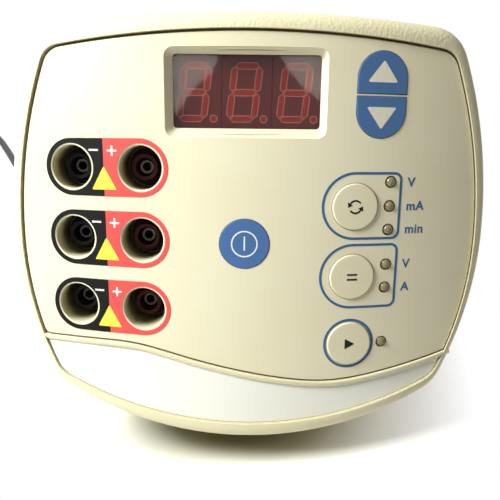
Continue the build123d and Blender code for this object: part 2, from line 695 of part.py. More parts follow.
def socket_contact(u, v):
    top = floor_w(u) + SOCKET_FLANGE_THICKNESS + COLLAR_HEIGHT - CONTACT_SETBACK
    end = floor_w(u) - SHANK_LENGTH
    body = rod(u, v, end, top, CONTACT_OUTER) + rod(u, v, end - TAIL_LENGTH, end, TAIL_DIAMETER)
    return body - rod(u, v, top - CONTACT_BORE_DEPTH, top, CONTACT_BORE)


def socket_nut(u, v):
    top = floor_w(u) - WELL_FLOOR
    nut = prism(Pos(u, v) * RegularPolygon(NUT_ACROSS / 2, 6, major_radius=False), top - NUT_HEIGHT, top)
    return nut - rod(u, v, -FAR, FAR, SHANK_DIAMETER)


def label(left, right, v):
    """One half of a row's label, round on its outer end, with the hole for the socket's rim."""
    pill = Pos((LABEL_U[0] + LABEL_U[2]) / 2, v) * SlotOverall(LABEL_U[2] - LABEL_U[0], LABEL_HEIGHT)
    half = Pos((left + right) / 2, v) * Rectangle(right - left, 2 * LABEL_HEIGHT)
    plate = crowned(pill & half, FACE_RADIUS + LABEL_THICKNESS, FACE_RADIUS)
    for u in SOCKET_U.values():
        plate -= rod(u, v, -FAR / 4, FAR / 8, WELL_BORE + 2 * (WELL_MOUTH + LABEL_REVEAL))
    return plate


def socket_nodes():
    every = [(u, v) for u in SOCKET_U.values() for v in SOCKET_V]
    nodes["socket_wells"] = group([on_face(well(u, v)) for u, v in every])
    nodes["socket_contacts"] = group([on_face(socket_contact(u, v)) for u, v in every])
    nodes["socket_nuts"] = group([on_face(socket_nut(u, v)) for u, v in every])
    ends = {"negative": LABEL_U[:2], "positive": LABEL_U[1:]}
    for sign, u in SOCKET_U.items():
        nodes[sign + "_socket_bodies"] = group([on_face(socket_body(u, v)) for v in SOCKET_V])
        nodes[sign + "_labels"] = group([on_face(label(*ends[sign], v)) for v in SOCKET_V])


# Rear housing

def rear_outline(inset=0.0):
    half_height = (REAR_TOP_Z - REAR_BOTTOM_Z) / 2 - inset
    radii = [r - inset for r in (REAR_TOP_RADIUS, REAR_BOTTOM_RADIUS, REAR_SIDE_RADIUS, REAR_SIDE_RADIUS)]
    corners = (REAR_CORNER - inset, REAR_CORNER - inset)
    return outline(REAR_HALF_WIDTH - inset, half_height, half_height, radii, corners, widest=0.0)


def parting_outline(inset=0.0):
    lift = (FRAME_DEPTH - LIP_RADIUS) * math.tan(SKEW)
    return on_face(Pos(0, lift, -FRAME_DEPTH) * case_outline(inset))


def rear_plane(y):
    middle = (REAR_TOP_Z + REAR_BOTTOM_Z) / 2
    return Plane(origin=(0, y, middle), x_dir=(1, 0, 0), z_dir=(0, -1, 0))


def plinth(inset, low):
    width = 2 * (PLINTH_HALF_WIDTH - inset)
    depth = PLINTH_BACK_Y - PLINTH_FRONT_Y - 2 * inset
    middle = (PLINTH_BACK_Y + PLINTH_FRONT_Y) / 2
    return prism(rounded(width, depth, PLINTH_CORNER - inset, 0, middle), low, PLINTH_TOP_Z)


def behind_seam(shape):
    """What of a shape lies behind the seam with the front frame."""
    back = Pos(0, 0, -FRAME_DEPTH - 2 * FAR) * Box(4 * FAR, 4 * FAR, 4 * FAR)
    return shape & on_face(back)


def screw_well(x, diameter, front, back):
    return Pos(x, (front + back) / 2, POST_Z) * Rot(90, 0, 0) * Cylinder(diameter / 2, back - front)


def rear_housing():
    outer = loft([parting_outline(), rear_plane(REAR_Y) * rear_outline()])
    rear = outer.faces().sort_by(Axis.Y)[-1]
    outer = fillet(rear.edges(), REAR_EDGE)
    outer += behind_seam(plinth(0, BASE_Z))
    inner = loft([parting_outline(WALL), rear_plane(REAR_Y - WALL) * rear_outline(WALL)])
    shell = outer - inner - behind_seam(plinth(WALL, BASE_Z + WALL))
    seat = parting_y(POST_Z) + 1.0
    for x in (-POST_X, POST_X):
        shell += behind_seam(screw_well(x, WELL_TUBE, seat, REAR_Y - WALL / 2))
        shell -= screw_well(x, WELL_SCREW_BORE, seat + WALL, REAR_Y + WALL)
        shell -= screw_well(x, HOUSING_SCREW_DIAMETER + 0.5, seat - WALL, seat + 2 * WALL)
    for k in range(SIDE_VENTS):
        y = SIDE_VENT_Y + (k - (SIDE_VENTS - 1) / 2) * VENT_PITCH
        shell -= vent(Plane.YZ, (0, y, sum(SIDE_VENT_Z) / 2), SIDE_VENT_Z, 2 * FAR)
    for k in range(REAR_VENTS):
        x = (k - (REAR_VENTS - 1) / 2) * VENT_PITCH
        shell -= vent(Plane.XZ, (x, REAR_Y, sum(REAR_VENT_Z) / 2), REAR_VENT_Z, 4 * WALL)
    shell -= block(*inlet_span(INLET_BODY, 0.3, REAR_Y - 2 * WALL, REAR_Y + WALL))
    for x in inlet_screw_places():
        shell -= inlet_rod(x, SCREW_DIAMETER, REAR_Y - 4 * WALL, REAR_Y + WALL)
    for x in (-FOOT_X, FOOT_X):
        for y in FOOT_Y:
            shell -= Pos(x, y, BASE_Z) * Cylinder(FOOT_DIAMETER / 2, 2 * FOOT_RECESS)
    return shell


def vent(plane, centre, span, through):
    slot = SlotOverall(span[1] - span[0], VENT_WIDTH, rotation=90)
    placed = Plane(origin=centre, x_dir=plane.x_dir, z_dir=plane.z_dir) * slot
    return extrude(placed, through / 2, both=True)


def rubber_feet():
    feet = []
    for x in (-FOOT_X, FOOT_X):
        for y in FOOT_Y:
            foot = Pos(x, y, (BASE_Z + FOOT_RECESS) / 2) * Cylinder(FOOT_DIAMETER / 2, BASE_Z + FOOT_RECESS)
            feet.append(chamfer(foot.edges().group_by(Axis.Z)[0], 1.5))
    return group(feet)


def housing_screws():
    seat = parting_y(POST_Z) + 1.0 + WALL
    screws = []
    for x in (-POST_X, POST_X):
        front = seat - HOUSING_SCREW_LENGTH
        shank = screw_well(x, HOUSING_SCREW_DIAMETER, front, seat)
        screws.append(shank + screw_well(x, HOUSING_SCREW_HEAD, seat, seat + HOUSING_SCREW_HEAD_HEIGHT))
    return group(screws)


# Mains inlet

def inlet_span(size, grow, front, back):
    """Ranges of a box centred on the inlet module."""
    z = INLET_Z + INLET_CENTRE_UP
    return ((INLET_X - size[0] / 2 - grow, INLET_X + size[0] / 2 + grow), (front, back),
            (z - size[1] / 2 - grow, z + size[1] / 2 + grow))


def inlet_hole(width, height, corner, depth, up=0.0):
    """A hole from the inlet's outer face inwards."""
    plane = Plane(origin=(INLET_X, INLET_Y, INLET_Z + up), x_dir=(1, 0, 0), z_dir=(0, -1, 0))
    return extrude(plane * RectangleRounded(width, height, corner), depth)


def inlet_housing():
    body = block(*inlet_span(INLET_FLANGE, 0, REAR_Y, INLET_Y))
    body = fillet(body.edges().filter_by(Axis.Y), 4.0)
    body += block(*inlet_span(INLET_BODY, 0, INLET_Y - INLET_FLANGE[2] - INLET_BODY[2], INLET_Y))
    body -= inlet_hole(*INLET_RECESS[:2], INLET_RECESS_CORNER, INLET_RECESS[2])
    width, height, depth = (s + 2 * DRAWER_CLEARANCE for s in DRAWER_SIZE)
    body -= inlet_hole(width, height, 0.8, depth, DRAWER_UP)
    for x, z in PIN_PLACES:
        body -= pin(x, z)
    for x in inlet_screw_places():
        body -= inlet_rod(x, SCREW_DIAMETER + 0.4, INLET_Y - 2 * WALL, INLET_Y)
    return body


def pin(x, z):
    front = INLET_Y - INLET_RECESS[2] + PIN_STANDS
    back = TAG_Y
    half = [s / 2 for s in PIN_SIZE]
    return block((INLET_X + x - half[0], INLET_X + x + half[0]), (back, front),
                 (INLET_Z + z - half[1], INLET_Z + z + half[1]))


def inlet_screw_places():
    return [INLET_X + s * INLET_SCREW_SPACING / 2 for s in (-1, 1)]


def inlet_rod(x, diameter, front, back):
    z = INLET_Z + INLET_CENTRE_UP
    return Pos(x, (front + back) / 2, z) * Rot(90, 0, 0) * Cylinder(diameter / 2, back - front)


def inlet_screws():
    screws = []
    for x in inlet_screw_places():
        shank = inlet_rod(x, SCREW_DIAMETER, REAR_Y - 3 * WALL, INLET_Y)
        screws.append(shank + inlet_rod(x, SCREW_HEAD, INLET_Y, INLET_Y + INLET_SCREW_HEAD_HEIGHT))
    return group(screws)


def fuse_drawer():
    width, height, depth = DRAWER_SIZE
    body = inlet_hole(width, height, 0.6, depth, DRAWER_UP)
    plane = Plane(origin=(INLET_X, INLET_Y, INLET_Z + DRAWER_UP + height / 2 - 1.5), x_dir=(1, 0, 0),
                  z_dir=(0, 1, 0))
    body += extrude(plane * Rectangle(width / 2, 2.4), DRAWER_LIP)
    body -= fuse_shape(FUSE_DIAMETER + 0.6, FUSE_LENGTH + 1.0)
    top = INLET_Z + DRAWER_UP
    y = INLET_Y - FUSE_BACK
    reach = (FUSE_LENGTH + 1.0) / 2
    half = FUSE_DIAMETER / 2 + 0.3
    return body - block((INLET_X - reach, INLET_X + reach), (y - half, y + half), (top, top + height))


def fuse_shape(diameter, length):
    y = INLET_Y - FUSE_BACK
    return Pos(INLET_X, y, INLET_Z + DRAWER_UP) * Rot(0, 90, 0) * Cylinder(diameter / 2, length)


def rating_plate():
    width, height, thickness = PLATE_SIZE
    plate = Plane(origin=(PLATE_X, REAR_Y, PLATE_Z), x_dir=(1, 0, 0), z_dir=(0, 1, 0))
    return extrude(plate * RectangleRounded(width, height, 2.0), thickness)


# Boards, transformer and wiring

def standoff_places():
    xs = (MAIN_BOARD_X[0] + STANDOFF_INSET, MAIN_BOARD_X[1] - STANDOFF_INSET)
    ys = (MAIN_BOARD_Y[0] + STANDOFF_INSET, MAIN_BOARD_Y[1] - STANDOFF_INSET)
    return [(x, y) for x in xs for y in ys]


def main_board():
    board = block(MAIN_BOARD_X, MAIN_BOARD_Y, (MAIN_BOARD_Z, MAIN_BOARD_Z + BOARD_THICKNESS))
    for x, y in standoff_places():
        board -= rod(x, y, 0, FAR, SCREW_DIAMETER + 0.4)
    return board


def board_standoffs():
    low = BASE_Z + WALL
    hollow = BOARD_SCREW_LENGTH - BOARD_THICKNESS
    posts = [rod(x, y, low, MAIN_BOARD_Z, STANDOFF_DIAMETER) for x, y in standoff_places()]
    holes = [rod(x, y, MAIN_BOARD_Z - hollow, MAIN_BOARD_Z, SCREW_DIAMETER) for x, y in standoff_places()]
    return group([post - hole for post, hole in zip(posts, holes)])


def board_screws():
    top = MAIN_BOARD_Z + BOARD_THICKNESS
    screws = [rod(x, y, top - BOARD_SCREW_LENGTH, top, SCREW_DIAMETER)
              + rod(x, y, top, top + SCREW_HEAD_HEIGHT, SCREW_HEAD) for x, y in standoff_places()]
    back = FRONT_BOARD_W - BOARD_THICKNESS
    for u, v in FRONT_BOSSES:
        screw = rod(u, v, back, back + BOARD_SCREW_LENGTH, SCREW_DIAMETER)
        screws.append(on_face(screw + rod(u, v, back - SCREW_HEAD_HEIGHT, back, SCREW_HEAD)))
    return group(screws)


def core_parts():
    """Laminated core with two windows, its winding, and the strap that holds it down."""
    x, y = CORE_CENTRE
    low = BASE_Z + WALL + CORE_LIFT
    core = block((x - CORE_SIZE[0] / 2, x + CORE_SIZE[0] / 2), (y - CORE_SIZE[1] / 2, y + CORE_SIZE[1] / 2),
                 (low, low + CORE_SIZE[2]))
    leg = CORE_SIZE[1] / 4
    window_y = (CORE_SIZE[1] - 2 * leg) / 4
    middle = low + CORE_SIZE[2] / 2
    for side in (-1, 1):
        hole = Pos(x, y + side * (leg / 2 + window_y / 2 + leg / 4), middle)
        core -= hole * Box(2 * CORE_SIZE[0], window_y, CORE_WINDOW_HEIGHT)
    reach = leg / 2 + leg / 4 + window_y - 0.6
    coil = Pos(x, y, middle) * Box(CORE_SIZE[0] + 2 * COIL_WALL, 2 * reach, CORE_WINDOW_HEIGHT - 1.0)
    coil = fillet(coil.edges().filter_by(Axis.Z), 5.0)
    coil -= core
    strap = block((x - CORE_SIZE[0] / 4, x + CORE_SIZE[0] / 4),
                  (y - CORE_SIZE[1] / 2 - BRACKET_THICKNESS, y + CORE_SIZE[1] / 2 + BRACKET_THICKNESS),
                  (BASE_Z + WALL, low + CORE_SIZE[2] + BRACKET_THICKNESS))
    strap -= block((x - FAR, x + FAR), (y - CORE_SIZE[1] / 2, y + CORE_SIZE[1] / 2),
                   (BASE_Z + WALL + CORE_LIFT, low + CORE_SIZE[2]))
    return core, coil, strap


def heat_sink():
    low = MAIN_BOARD_Z + BOARD_THICKNESS
    depth, length, height = SINK_SIZE
    inner = SINK_X + depth / 2
    sink = block((inner - SINK_BASE, inner), (SINK_Y - length / 2, SINK_Y + length / 2), (low, low + height))
    for k in range(SINK_FINS):
        y = SINK_Y + (k - (SINK_FINS - 1) / 2) * (length - FIN_THICKNESS) / (SINK_FINS - 1)
        sink += block((inner - depth, inner - SINK_BASE / 2), (y - FIN_THICKNESS / 2, y + FIN_THICKNESS / 2),
                      (low, low + height))
    return sink


def power_transistors():
    depth, width, height = TRANSISTOR_SIZE
    x = SINK_X + SINK_SIZE[0] / 2
    low = MAIN_BOARD_Z + BOARD_THICKNESS + 12.0
    ys = [SINK_Y + (k - (TRANSISTORS - 1) / 2) * width * 1.6 for k in range(TRANSISTORS)]
    return group([block((x, x + depth), (y - width / 2, y + width / 2), (low, low + height)) for y in ys])


def on_board(x, y, size):
    low = MAIN_BOARD_Z + BOARD_THICKNESS
    return block((x - size[0] / 2, x + size[0] / 2), (y - size[1] / 2, y + size[1] / 2), (low, low + size[2]))


def filter_capacitors():
    low = MAIN_BOARD_Z + BOARD_THICKNESS
    cans = [rod(x, y, low, low + CAPACITOR_HEIGHT, CAPACITOR_DIAMETER) for x, y in CAPACITOR_PLACES]
    return group([fillet(can.edges().group_by(Axis.Z)[-1], 1.5) for can in cans])


def corner_radii(points, share=0.45):
    """Largest easy bend at each inner point: 0.45 of its shorter run over the tangent of half the turn."""
    radii = []
    for before, here, after in zip(points, points[1:], points[2:]):
        run, next_run = here - before, after - here
        turn = math.radians(run.get_angle(next_run))
        radii.append(share * min(run.length, next_run.length) / math.tan(turn / 2))
    return radii


def tube(points, diameter):
    """A round tube along straight runs joined by tangent arcs, and its path."""
    points = [Vector(*p) for p in points]
    path = FilletPolyline(*points, radius=corner_radii(points))
    start = Plane(origin=path @ 0, z_dir=path % 0)
    return sweep(start * Circle(diameter / 2), path=path), path


def output_leads():
    """One wire from the tail of each output contact to the header on the main board."""
    wires = []
    order = [(u, v) for v in SOCKET_V for u in SOCKET_U.values()]
    for k, (u, v) in enumerate(order):
        end = floor_w(u) - SHANK_LENGTH - TAIL_LENGTH
        tail = FACE.from_local_coords(Vector(u, v, end))
        back = FACE.from_local_coords(Vector(u, v, end - 12.0))
        x = WIRE_HEADER_X + WIRE_PITCH * (k % 2)
        y = TAG_Y - MAINS_DROP - HEADER_STEP - WIRE_PITCH * (k // 2)
        top = MAIN_BOARD_Z + BOARD_THICKNESS
        over = Vector(x, y, top + SINK_SIZE[2] + 3.5 * (len(order) - k))
        wires.append(tube([tail, back, over, Vector(x, y, top)], WIRE_DIAMETER)[0])
    return group(wires)


def ribbon_cable():
    """Flat cable from the display board's back down to the main board."""
    back = FRONT_BOARD_W - BOARD_THICKNESS
    start = FACE.from_local_coords(Vector(0, RIBBON_V, back))
    out = FACE.from_local_coords(Vector(0, RIBBON_V, back - RIBBON_RUN))
    end_y = MAIN_BOARD_Y[0] + RIBBON_END_INSET
    top = MAIN_BOARD_Z + BOARD_THICKNESS
    points = [(start.Y, start.Z), (out.Y, out.Z), (end_y, top + 20.0), (end_y, top)]
    path = FilletPolyline(*points, radius=6.0)
    strip = trace(path, RIBBON_THICKNESS)
    x = FRONT_BOARD_U[0] + RIBBON_INSET
    return extrude(Plane(origin=(x, 0, 0), x_dir=(0, 1, 0), z_dir=(1, 0, 0)) * strip, RIBBON_WIDTH)


def mains_leads():
    """Wires from the inlet's tags down to the main board's rear edge."""
    wires = []
    for k, (x, z) in enumerate(PIN_PLACES):
        tag = Vector(INLET_X + x, TAG_Y, INLET_Z + z)
        down = Vector(INLET_X + x, TAG_Y - MAINS_DROP, MAIN_BOARD_Z + BOARD_THICKNESS)
        wires.append(tube([tag, Vector(tag.X, down.Y, tag.Z), down], WIRE_DIAMETER)[0])
    return group(wires)


# Mains lead

def lead_connector():
    recess, head_back = INLET_Y - INLET_RECESS[2] + HEAD_CLEARANCE, INLET_Y + GRIP_GAP
    width, height = (s - 2 * HEAD_CLEARANCE for s in INLET_RECESS[:2])
    plane = Plane(origin=(INLET_X, head_back, INLET_Z), x_dir=(1, 0, 0), z_dir=(0, 1, 0))
    head = extrude(plane * RectangleRounded(width, height, INLET_RECESS_CORNER - HEAD_CLEARANCE),
                   recess - head_back)
    grip = Plane(origin=(INLET_X, head_back + CONNECTOR_BODY[2], INLET_Z), x_dir=(1, 0, 0), z_dir=(0, 1, 0))
    ends = [plane * RectangleRounded(*CONNECTOR_BODY[:2], 4.0), grip * RectangleRounded(*CONNECTOR_REAR, 4.0)]
    body = loft(ends)
    body += head
    for x, z in PIN_PLACES:
        slot = [s / 2 + 0.35 for s in PIN_SIZE]
        body -= block((INLET_X + x - slot[0], INLET_X + x + slot[0]), (recess, recess + PIN_STANDS + 1.0),
                      (INLET_Z + z - slot[1], INLET_Z + z + slot[1]))
    return body


def relief_start():
    return INLET_Y + GRIP_GAP + CONNECTOR_BODY[2]


def lead_strain_relief():
    plane = Plane(origin=(INLET_X, relief_start(), INLET_Z), x_dir=(1, 0, 0), z_dir=(0, 1, 0))
    end = plane.offset(RELIEF_LENGTH)
    return loft([plane * Circle(RELIEF_DIAMETER / 2), end * Circle(LEAD_DIAMETER / 2 + 0.8)])


def coil_radius(turn):
    """The turns spiral in at a steady rate, and out again above."""
    return COIL_OUTER_TURN - min(turn, coil_turns() - turn) * COIL_PITCH / 2


def coil_turns():
    return 2 * COIL_HALF_TURNS + 1


def coil_low():
    """Height of the lower layer's middle."""
    return LEAD_DIAMETER / 2 + TIE_THICKNESS + TIE_CLEARANCE


def coil_point(turn):
    """Place and heading on the coil after this many half turns, winding anticlockwise from above."""
    radius = coil_radius(turn)
    angle = turn * math.pi
    climb = min(1.0, max(0.0, turn - COIL_HALF_TURNS))
    rising = 0 < climb < 1
    slope = 1.5 * COIL_LIFT / (math.pi * radius) if rising else 0.0
    place = Vector(*COIL_CENTRE, coil_low() + climb * COIL_LIFT)
    place += Vector(math.cos(angle), math.sin(angle)) * radius
    return place, Vector(-math.sin(angle), math.cos(angle), slope).normalized()


def biarc(start, heading, end, end_heading):
    """Two arcs that leave start and reach end along the given headings."""
    gap = end - start
    both = heading + end_heading
    a = 2 * (1 - heading.dot(end_heading))
    b = 2 * gap.dot(both)
    reach = (-b + math.sqrt(b * b + 4 * a * gap.dot(gap))) / (2 * a)
    middle = (start + heading * reach + end - end_heading * reach) / 2
    first = TangentArc(start, middle, tangent=heading)
    second = TangentArc(middle, end, tangent=first % 1)
    return [first, second]


def coil_ends():
    """Where the straight ends of the coil begin and stop."""
    first, heading = coil_point(0)
    last, end_heading = coil_point(coil_turns())
    return first - heading * LEAD_DIAMETER, last + end_heading * LEAD_DIAMETER


def coil_path():
    turns = sorted([*range(coil_turns() + 1), COIL_HALF_TURNS + 0.5])
    stops = [coil_point(k) for k in turns]
    edges = [Line(coil_ends()[0], stops[0][0])]
    for (here, heading), (there, next_heading) in zip(stops, stops[1:]):
        edges += biarc(here, heading, there, next_heading)
    return Wire([*edges, Line(stops[-1][0], coil_ends()[1])])


def swept(path, diameter):
    start = Plane(origin=path @ 0, z_dir=path % 0)
    return sweep(start * Circle(diameter / 2), path=path)


def lead_route_start():
    exit_point = Vector(INLET_X, relief_start() + RELIEF_LENGTH, INLET_Z)
    return [exit_point, *[Vector(*p) for p in LEAD_START], coil_ends()[0]]


def lead_route_end():
    return [coil_ends()[1], *[Vector(*p) for p in LEAD_END], Vector(*PLUG_POINT)]


def plug_plane():
    heading = Vector(*PLUG_POINT) - Vector(*LEAD_END[-1])
    return Plane(origin=PLUG_POINT, x_dir=(heading.Y, -heading.X, 0), z_dir=(heading.X, heading.Y, 0))


def mains_plug():
    plane = plug_plane()
    tail = loft([plane * Circle(LEAD_DIAMETER / 2 + 0.8), plane.offset(PLUG_TAIL) * Circle(6.5)])
    width, height, length = PLUG_BODY
    body = plane.offset(PLUG_TAIL) * Pos(0, 0, length / 2) * Box(width, height, length)
    return tail + fillet(body.edges(), 3.0)


def plug_blades():
    face = plug_plane().offset(PLUG_TAIL + PLUG_BODY[2])
    thick, wide, length = BLADE_SIZE
    blades = [face * Pos(s * BLADE_SPACING / 2, 2.5, length / 2) * Box(thick, wide, length) for s in (-1, 1)]
    ground = face * Pos(0, -GROUND_DROP, length / 2 + 1.5) * Cylinder(GROUND_DIAMETER / 2, length + 3.0)
    return group([*blades, ground])


def lead_tie():
    """A band round all the turns on the far side of the coil."""
    near = coil_radius(COIL_HALF_TURNS - 0.5)
    far = coil_radius(0.5)
    sag = (TIE_WIDTH / 2 + COIL_PITCH / 4)**2 / 2 / near
    low = coil_low() - LEAD_DIAMETER / 2 - TIE_CLEARANCE
    high = coil_low() + COIL_LIFT + LEAD_DIAMETER / 2 + TIE_CLEARANCE
    inner = near - LEAD_DIAMETER / 2 - TIE_CLEARANCE - sag
    outer = far + LEAD_DIAMETER / 2 + TIE_CLEARANCE
    centre = (COIL_CENTRE[0], COIL_CENTRE[1] + (inner + outer) / 2, (low + high) / 2)
    plane = Plane(origin=centre, x_dir=(0, 1, 0), z_dir=(1, 0, 0))
    inside = RectangleRounded(outer - inner, high - low, LEAD_DIAMETER / 2 - 0.5)
    band = RectangleRounded(outer - inner + 2 * TIE_THICKNESS, high - low + 2 * TIE_THICKNESS,
                            LEAD_DIAMETER / 2 + TIE_THICKNESS - 0.5)
    return extrude(plane * (band - inside), TIE_WIDTH / 2, both=True)


def lead_nodes():
    nodes["lead_connector"] = lead_connector()
    nodes["lead_strain_relief"] = lead_strain_relief()
    start, end = lead_route_start(), lead_route_end()
    length = 0.0
    for name, points in (("mains_lead_start", start), ("mains_lead_end", end)):
        nodes[name], path = tube(points, LEAD_DIAMETER)
        section = math.pi * LEAD_DIAMETER**2 / 4
        print(name, "length", round(path.length, 1), "volume/expected",
              round(nodes[name].volume / section / path.length, 4),
              "radii", [round(r, 1) for r in corner_radii(points)])
        length += path.length
    path = coil_path()
    nodes["mains_lead_coil"] = swept(path, LEAD_DIAMETER)
    print("coil length", round(path.length, 1), "whole lead", round(length + path.length, 1), "mm")
    print("least gap between turns", round(least_gap(path), 2), "mm")
    nodes["lead_tie"] = lead_tie()
    nodes["mains_plug"] = mains_plug()
    nodes["plug_blades"] = plug_blades()


def least_gap(path, count=400):
    """Least space between turns, on points along the path."""
    points = [path @ (k / count) for k in range(count + 1)]
    apart = int(count * 4 * LEAD_DIAMETER / path.length) + 1
    gaps = [(a - b).length for i, a in enumerate(points) for b in points[i + apart:]]
    return min(gaps) - LEAD_DIAMETER


# Assembly

def face_nodes():
    nodes["front_frame"] = on_face(front_frame())
    nodes["control_panel"] = on_face(control_panel())
    nodes["lower_trim"] = on_face(crowned(trim_outline(), trim_radius(), trim_radius() - TRIM_THICKNESS))
    nodes["display_window"] = on_face(display_window())
    nodes["digit_modules"] = on_face(digit_modules())
    nodes["digit_segments"] = on_face(digit_segments())
    nodes["display_board"] = on_face(display_board())
    nodes["indicator_lamps"] = group([on_face(lamp(v)) for v in LAMP_V])
    for name in KEYS:
        nodes[name] = on_face(key_cap(name))
        nodes[name + "_plunger"] = on_face(key_plunger(name))
    nodes["key_switches"] = on_face(key_switches())


def inner_nodes():
    nodes["main_board"] = main_board()
    nodes["board_standoffs"] = board_standoffs()
    nodes["board_screws"] = board_screws()
    nodes["transformer_core"], nodes["transformer_winding"], nodes["transformer_strap"] = core_parts()
    nodes["heat_sink"] = heat_sink()
    nodes["power_transistors"] = power_transistors()
    nodes["bridge_rectifier"] = on_board(*RECTIFIER_PLACE, RECTIFIER_SIZE)
    nodes["filter_capacitors"] = filter_capacitors()
    nodes["output_relays"] = group([on_board(x, y, RELAY_SIZE) for x, y in RELAY_PLACES])
    nodes["output_leads"] = output_leads()
    nodes["ribbon_cable"] = ribbon_cable()
    nodes["mains_leads"] = mains_leads()


def rear_nodes():
    nodes["rear_housing"] = rear_housing()
    nodes["housing_screws"] = housing_screws()
    nodes["rubber_feet"] = rubber_feet()
    nodes["inlet_housing"] = inlet_housing()
    nodes["inlet_pins"] = group([pin(x, z) for x, z in PIN_PLACES])
    nodes["inlet_screws"] = inlet_screws()
    nodes["fuse_drawer"] = fuse_drawer()
    nodes["fuse"] = fuse_shape(FUSE_DIAMETER, FUSE_LENGTH)
    nodes["rating_plate"] = rating_plate()


def build():
    face_nodes()
    socket_nodes()
    rear_nodes()
    inner_nodes()
    lead_nodes()
    os.makedirs("parts", exist_ok=True)
    for name, shape in nodes.items():
        export_step(shape, f"parts/{name}.step")


build()
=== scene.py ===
import json
import math

import bmesh
import bpy
from mathutils import Matrix, Vector


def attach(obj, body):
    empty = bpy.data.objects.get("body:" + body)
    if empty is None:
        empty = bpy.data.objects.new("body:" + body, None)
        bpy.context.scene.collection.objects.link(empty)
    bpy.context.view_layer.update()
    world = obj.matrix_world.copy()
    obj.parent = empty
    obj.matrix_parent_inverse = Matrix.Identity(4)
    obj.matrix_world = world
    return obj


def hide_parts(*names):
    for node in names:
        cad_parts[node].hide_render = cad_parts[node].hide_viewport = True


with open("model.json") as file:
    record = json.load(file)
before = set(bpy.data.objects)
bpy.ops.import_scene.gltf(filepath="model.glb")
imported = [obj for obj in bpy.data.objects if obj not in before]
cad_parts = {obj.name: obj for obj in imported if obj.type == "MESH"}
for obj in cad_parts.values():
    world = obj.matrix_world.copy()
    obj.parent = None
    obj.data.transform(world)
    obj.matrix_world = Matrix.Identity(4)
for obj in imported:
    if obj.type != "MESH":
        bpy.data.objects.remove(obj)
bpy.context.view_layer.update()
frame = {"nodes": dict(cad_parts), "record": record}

MM = 0.001

# The leaning, crowned face, in millimetres: u across, v up along it, rise out of its surface
FACE_LEAN = math.radians(20.0)
FACE_CROWN = 287.0
FACE_MIDDLE = Vector((0.0, -85.138, 106.0))
ACROSS = Vector((1.0, 0.0, 0.0))
UP_FACE = Vector((0.0, math.sin(FACE_LEAN), math.cos(FACE_LEAN)))
OUT_OF_FACE = Vector((0.0, -math.cos(FACE_LEAN), math.sin(FACE_LEAN)))

# What stands on the face, and how far out of it
LABEL_RISE = 0.25
FLAT_KEY_RISE = 0.35
ROUND_KEY_RISE = 0.9
INK = 0.07  # how far ink and foil stand proud, thick enough to be a solid skin
SOCKET_ROWS = (31.8, 0.5, -30.8)
LABEL_DIVIDE = -62.8
POWER_KEY = (-1.5, 0.0)
ARROW_U = 55.7
KEY_COLUMN = 46.3
SETTINGS_V, CONSTANT_V, RUN_V = 16.2, -15.0, -46.2

# Display: the digits lie flat behind the window
DISPLAY_MIDDLE = (-1.05, 63.6)
DIGIT_PITCH = 21.3
DIGIT_SHIFT = -1.0
DIGIT_SIZE = (13.1, 24.2)
DIGIT_SLANT = math.tan(math.radians(6.5))
SEGMENT_WIDTH = 2.6
SEGMENT_JOINT = 0.35
DOT_GAP = 1.6
DOT_RADIUS = 1.5
DIGITS_FRONT = -7.5  # this far behind the face's middle
RIM_WIDTH = 0.34

SHADE_REACH = 1.6  # how far the painted shade spreads out of a gap
WELL_SHADE_DEPTHS = (0.6, 9.0)  # from here down to here, the painted shade in a well deepens

# The bead between panel and trim: points of the seam, and the bead's section as (down from it, rise)
SEAM = [(-111.4, -47.9), (-92.0, -47.6), (-72.0, -47.3), (-50.0, -48.0), (-36.0, -50.9), (-22.0, -54.5),
        (9.0, -61.1), (38.0, -64.0), (62.0, -61.0), (96.0, -53.5), (111.4, -48.9)]
BEAD_SECTION = [(0.02, 0.4), (0.08, 0.68), (0.3, 0.9), (0.7, 1.0),
                (1.2, 0.95), (1.8, 0.78), (2.3, 0.55), (2.5, 0.4)]
BEAD_ENDS = (-97.4, 97.4)
BEAD_STEPS = 130


def on_face(u, v, rise=0.0):
    """A point of the crowned face in metres, a little out of its surface."""
    out = math.sqrt((FACE_CROWN + rise) ** 2 - u * u) - FACE_CROWN
    return (FACE_MIDDLE + ACROSS * u + UP_FACE * v + OUT_OF_FACE * out) * MM


def on_digits(u, v, rise=0.0):
    """A point of the digits' flat front in metres."""
    return (FACE_MIDDLE + ACROSS * u + UP_FACE * v + OUT_OF_FACE * (DIGITS_FRONT + rise)) * MM


# Materials

def linear(code):
    """An sRGB hex code as linear red, green, blue and alpha."""
    values = [int(code[i:i + 2], 16) / 255 for i in (1, 3, 5)]
    return [v / 12.92 if v <= 0.04045 else ((v + 0.055) / 1.055) ** 2.4 for v in values] + [1.0]


def add(tree, kind, settings=None, links=None):
    """Adds one shader node with its settings and links."""
    made = tree.nodes.new(kind)
    for name, value in (settings or {}).items():
        if isinstance(name, int) or name in made.inputs:
            made.inputs[name].default_value = value
        else:
            setattr(made, name, value)
    for name, source in (links or {}).items():
        tree.links.new(source, made.inputs[name])
    return made


def bare_material(name):
    """A new material without nodes."""
    made = bpy.data.materials.new(name)
    made.use_nodes = True
    made.node_tree.nodes.clear()
    return made, made.node_tree


def show(tree, shader):
    """Puts a shader on the material's surface."""
    tree.links.new(shader, add(tree, "ShaderNodeOutputMaterial").inputs["Surface"])


def start(name, roughness, **sockets):
    """A new material with its shader, and where on the piece each point lies."""
    made, tree = bare_material(name)
    shader = add(tree, "ShaderNodeBsdfPrincipled", {"Roughness": roughness})
    for socket, value in sockets.items():
        shader.inputs[socket.replace("_", " ")].default_value = value
    show(tree, shader.outputs[0])
    place = add(tree, "ShaderNodeTexCoord").outputs["Object"]
    return made, tree, shader, place


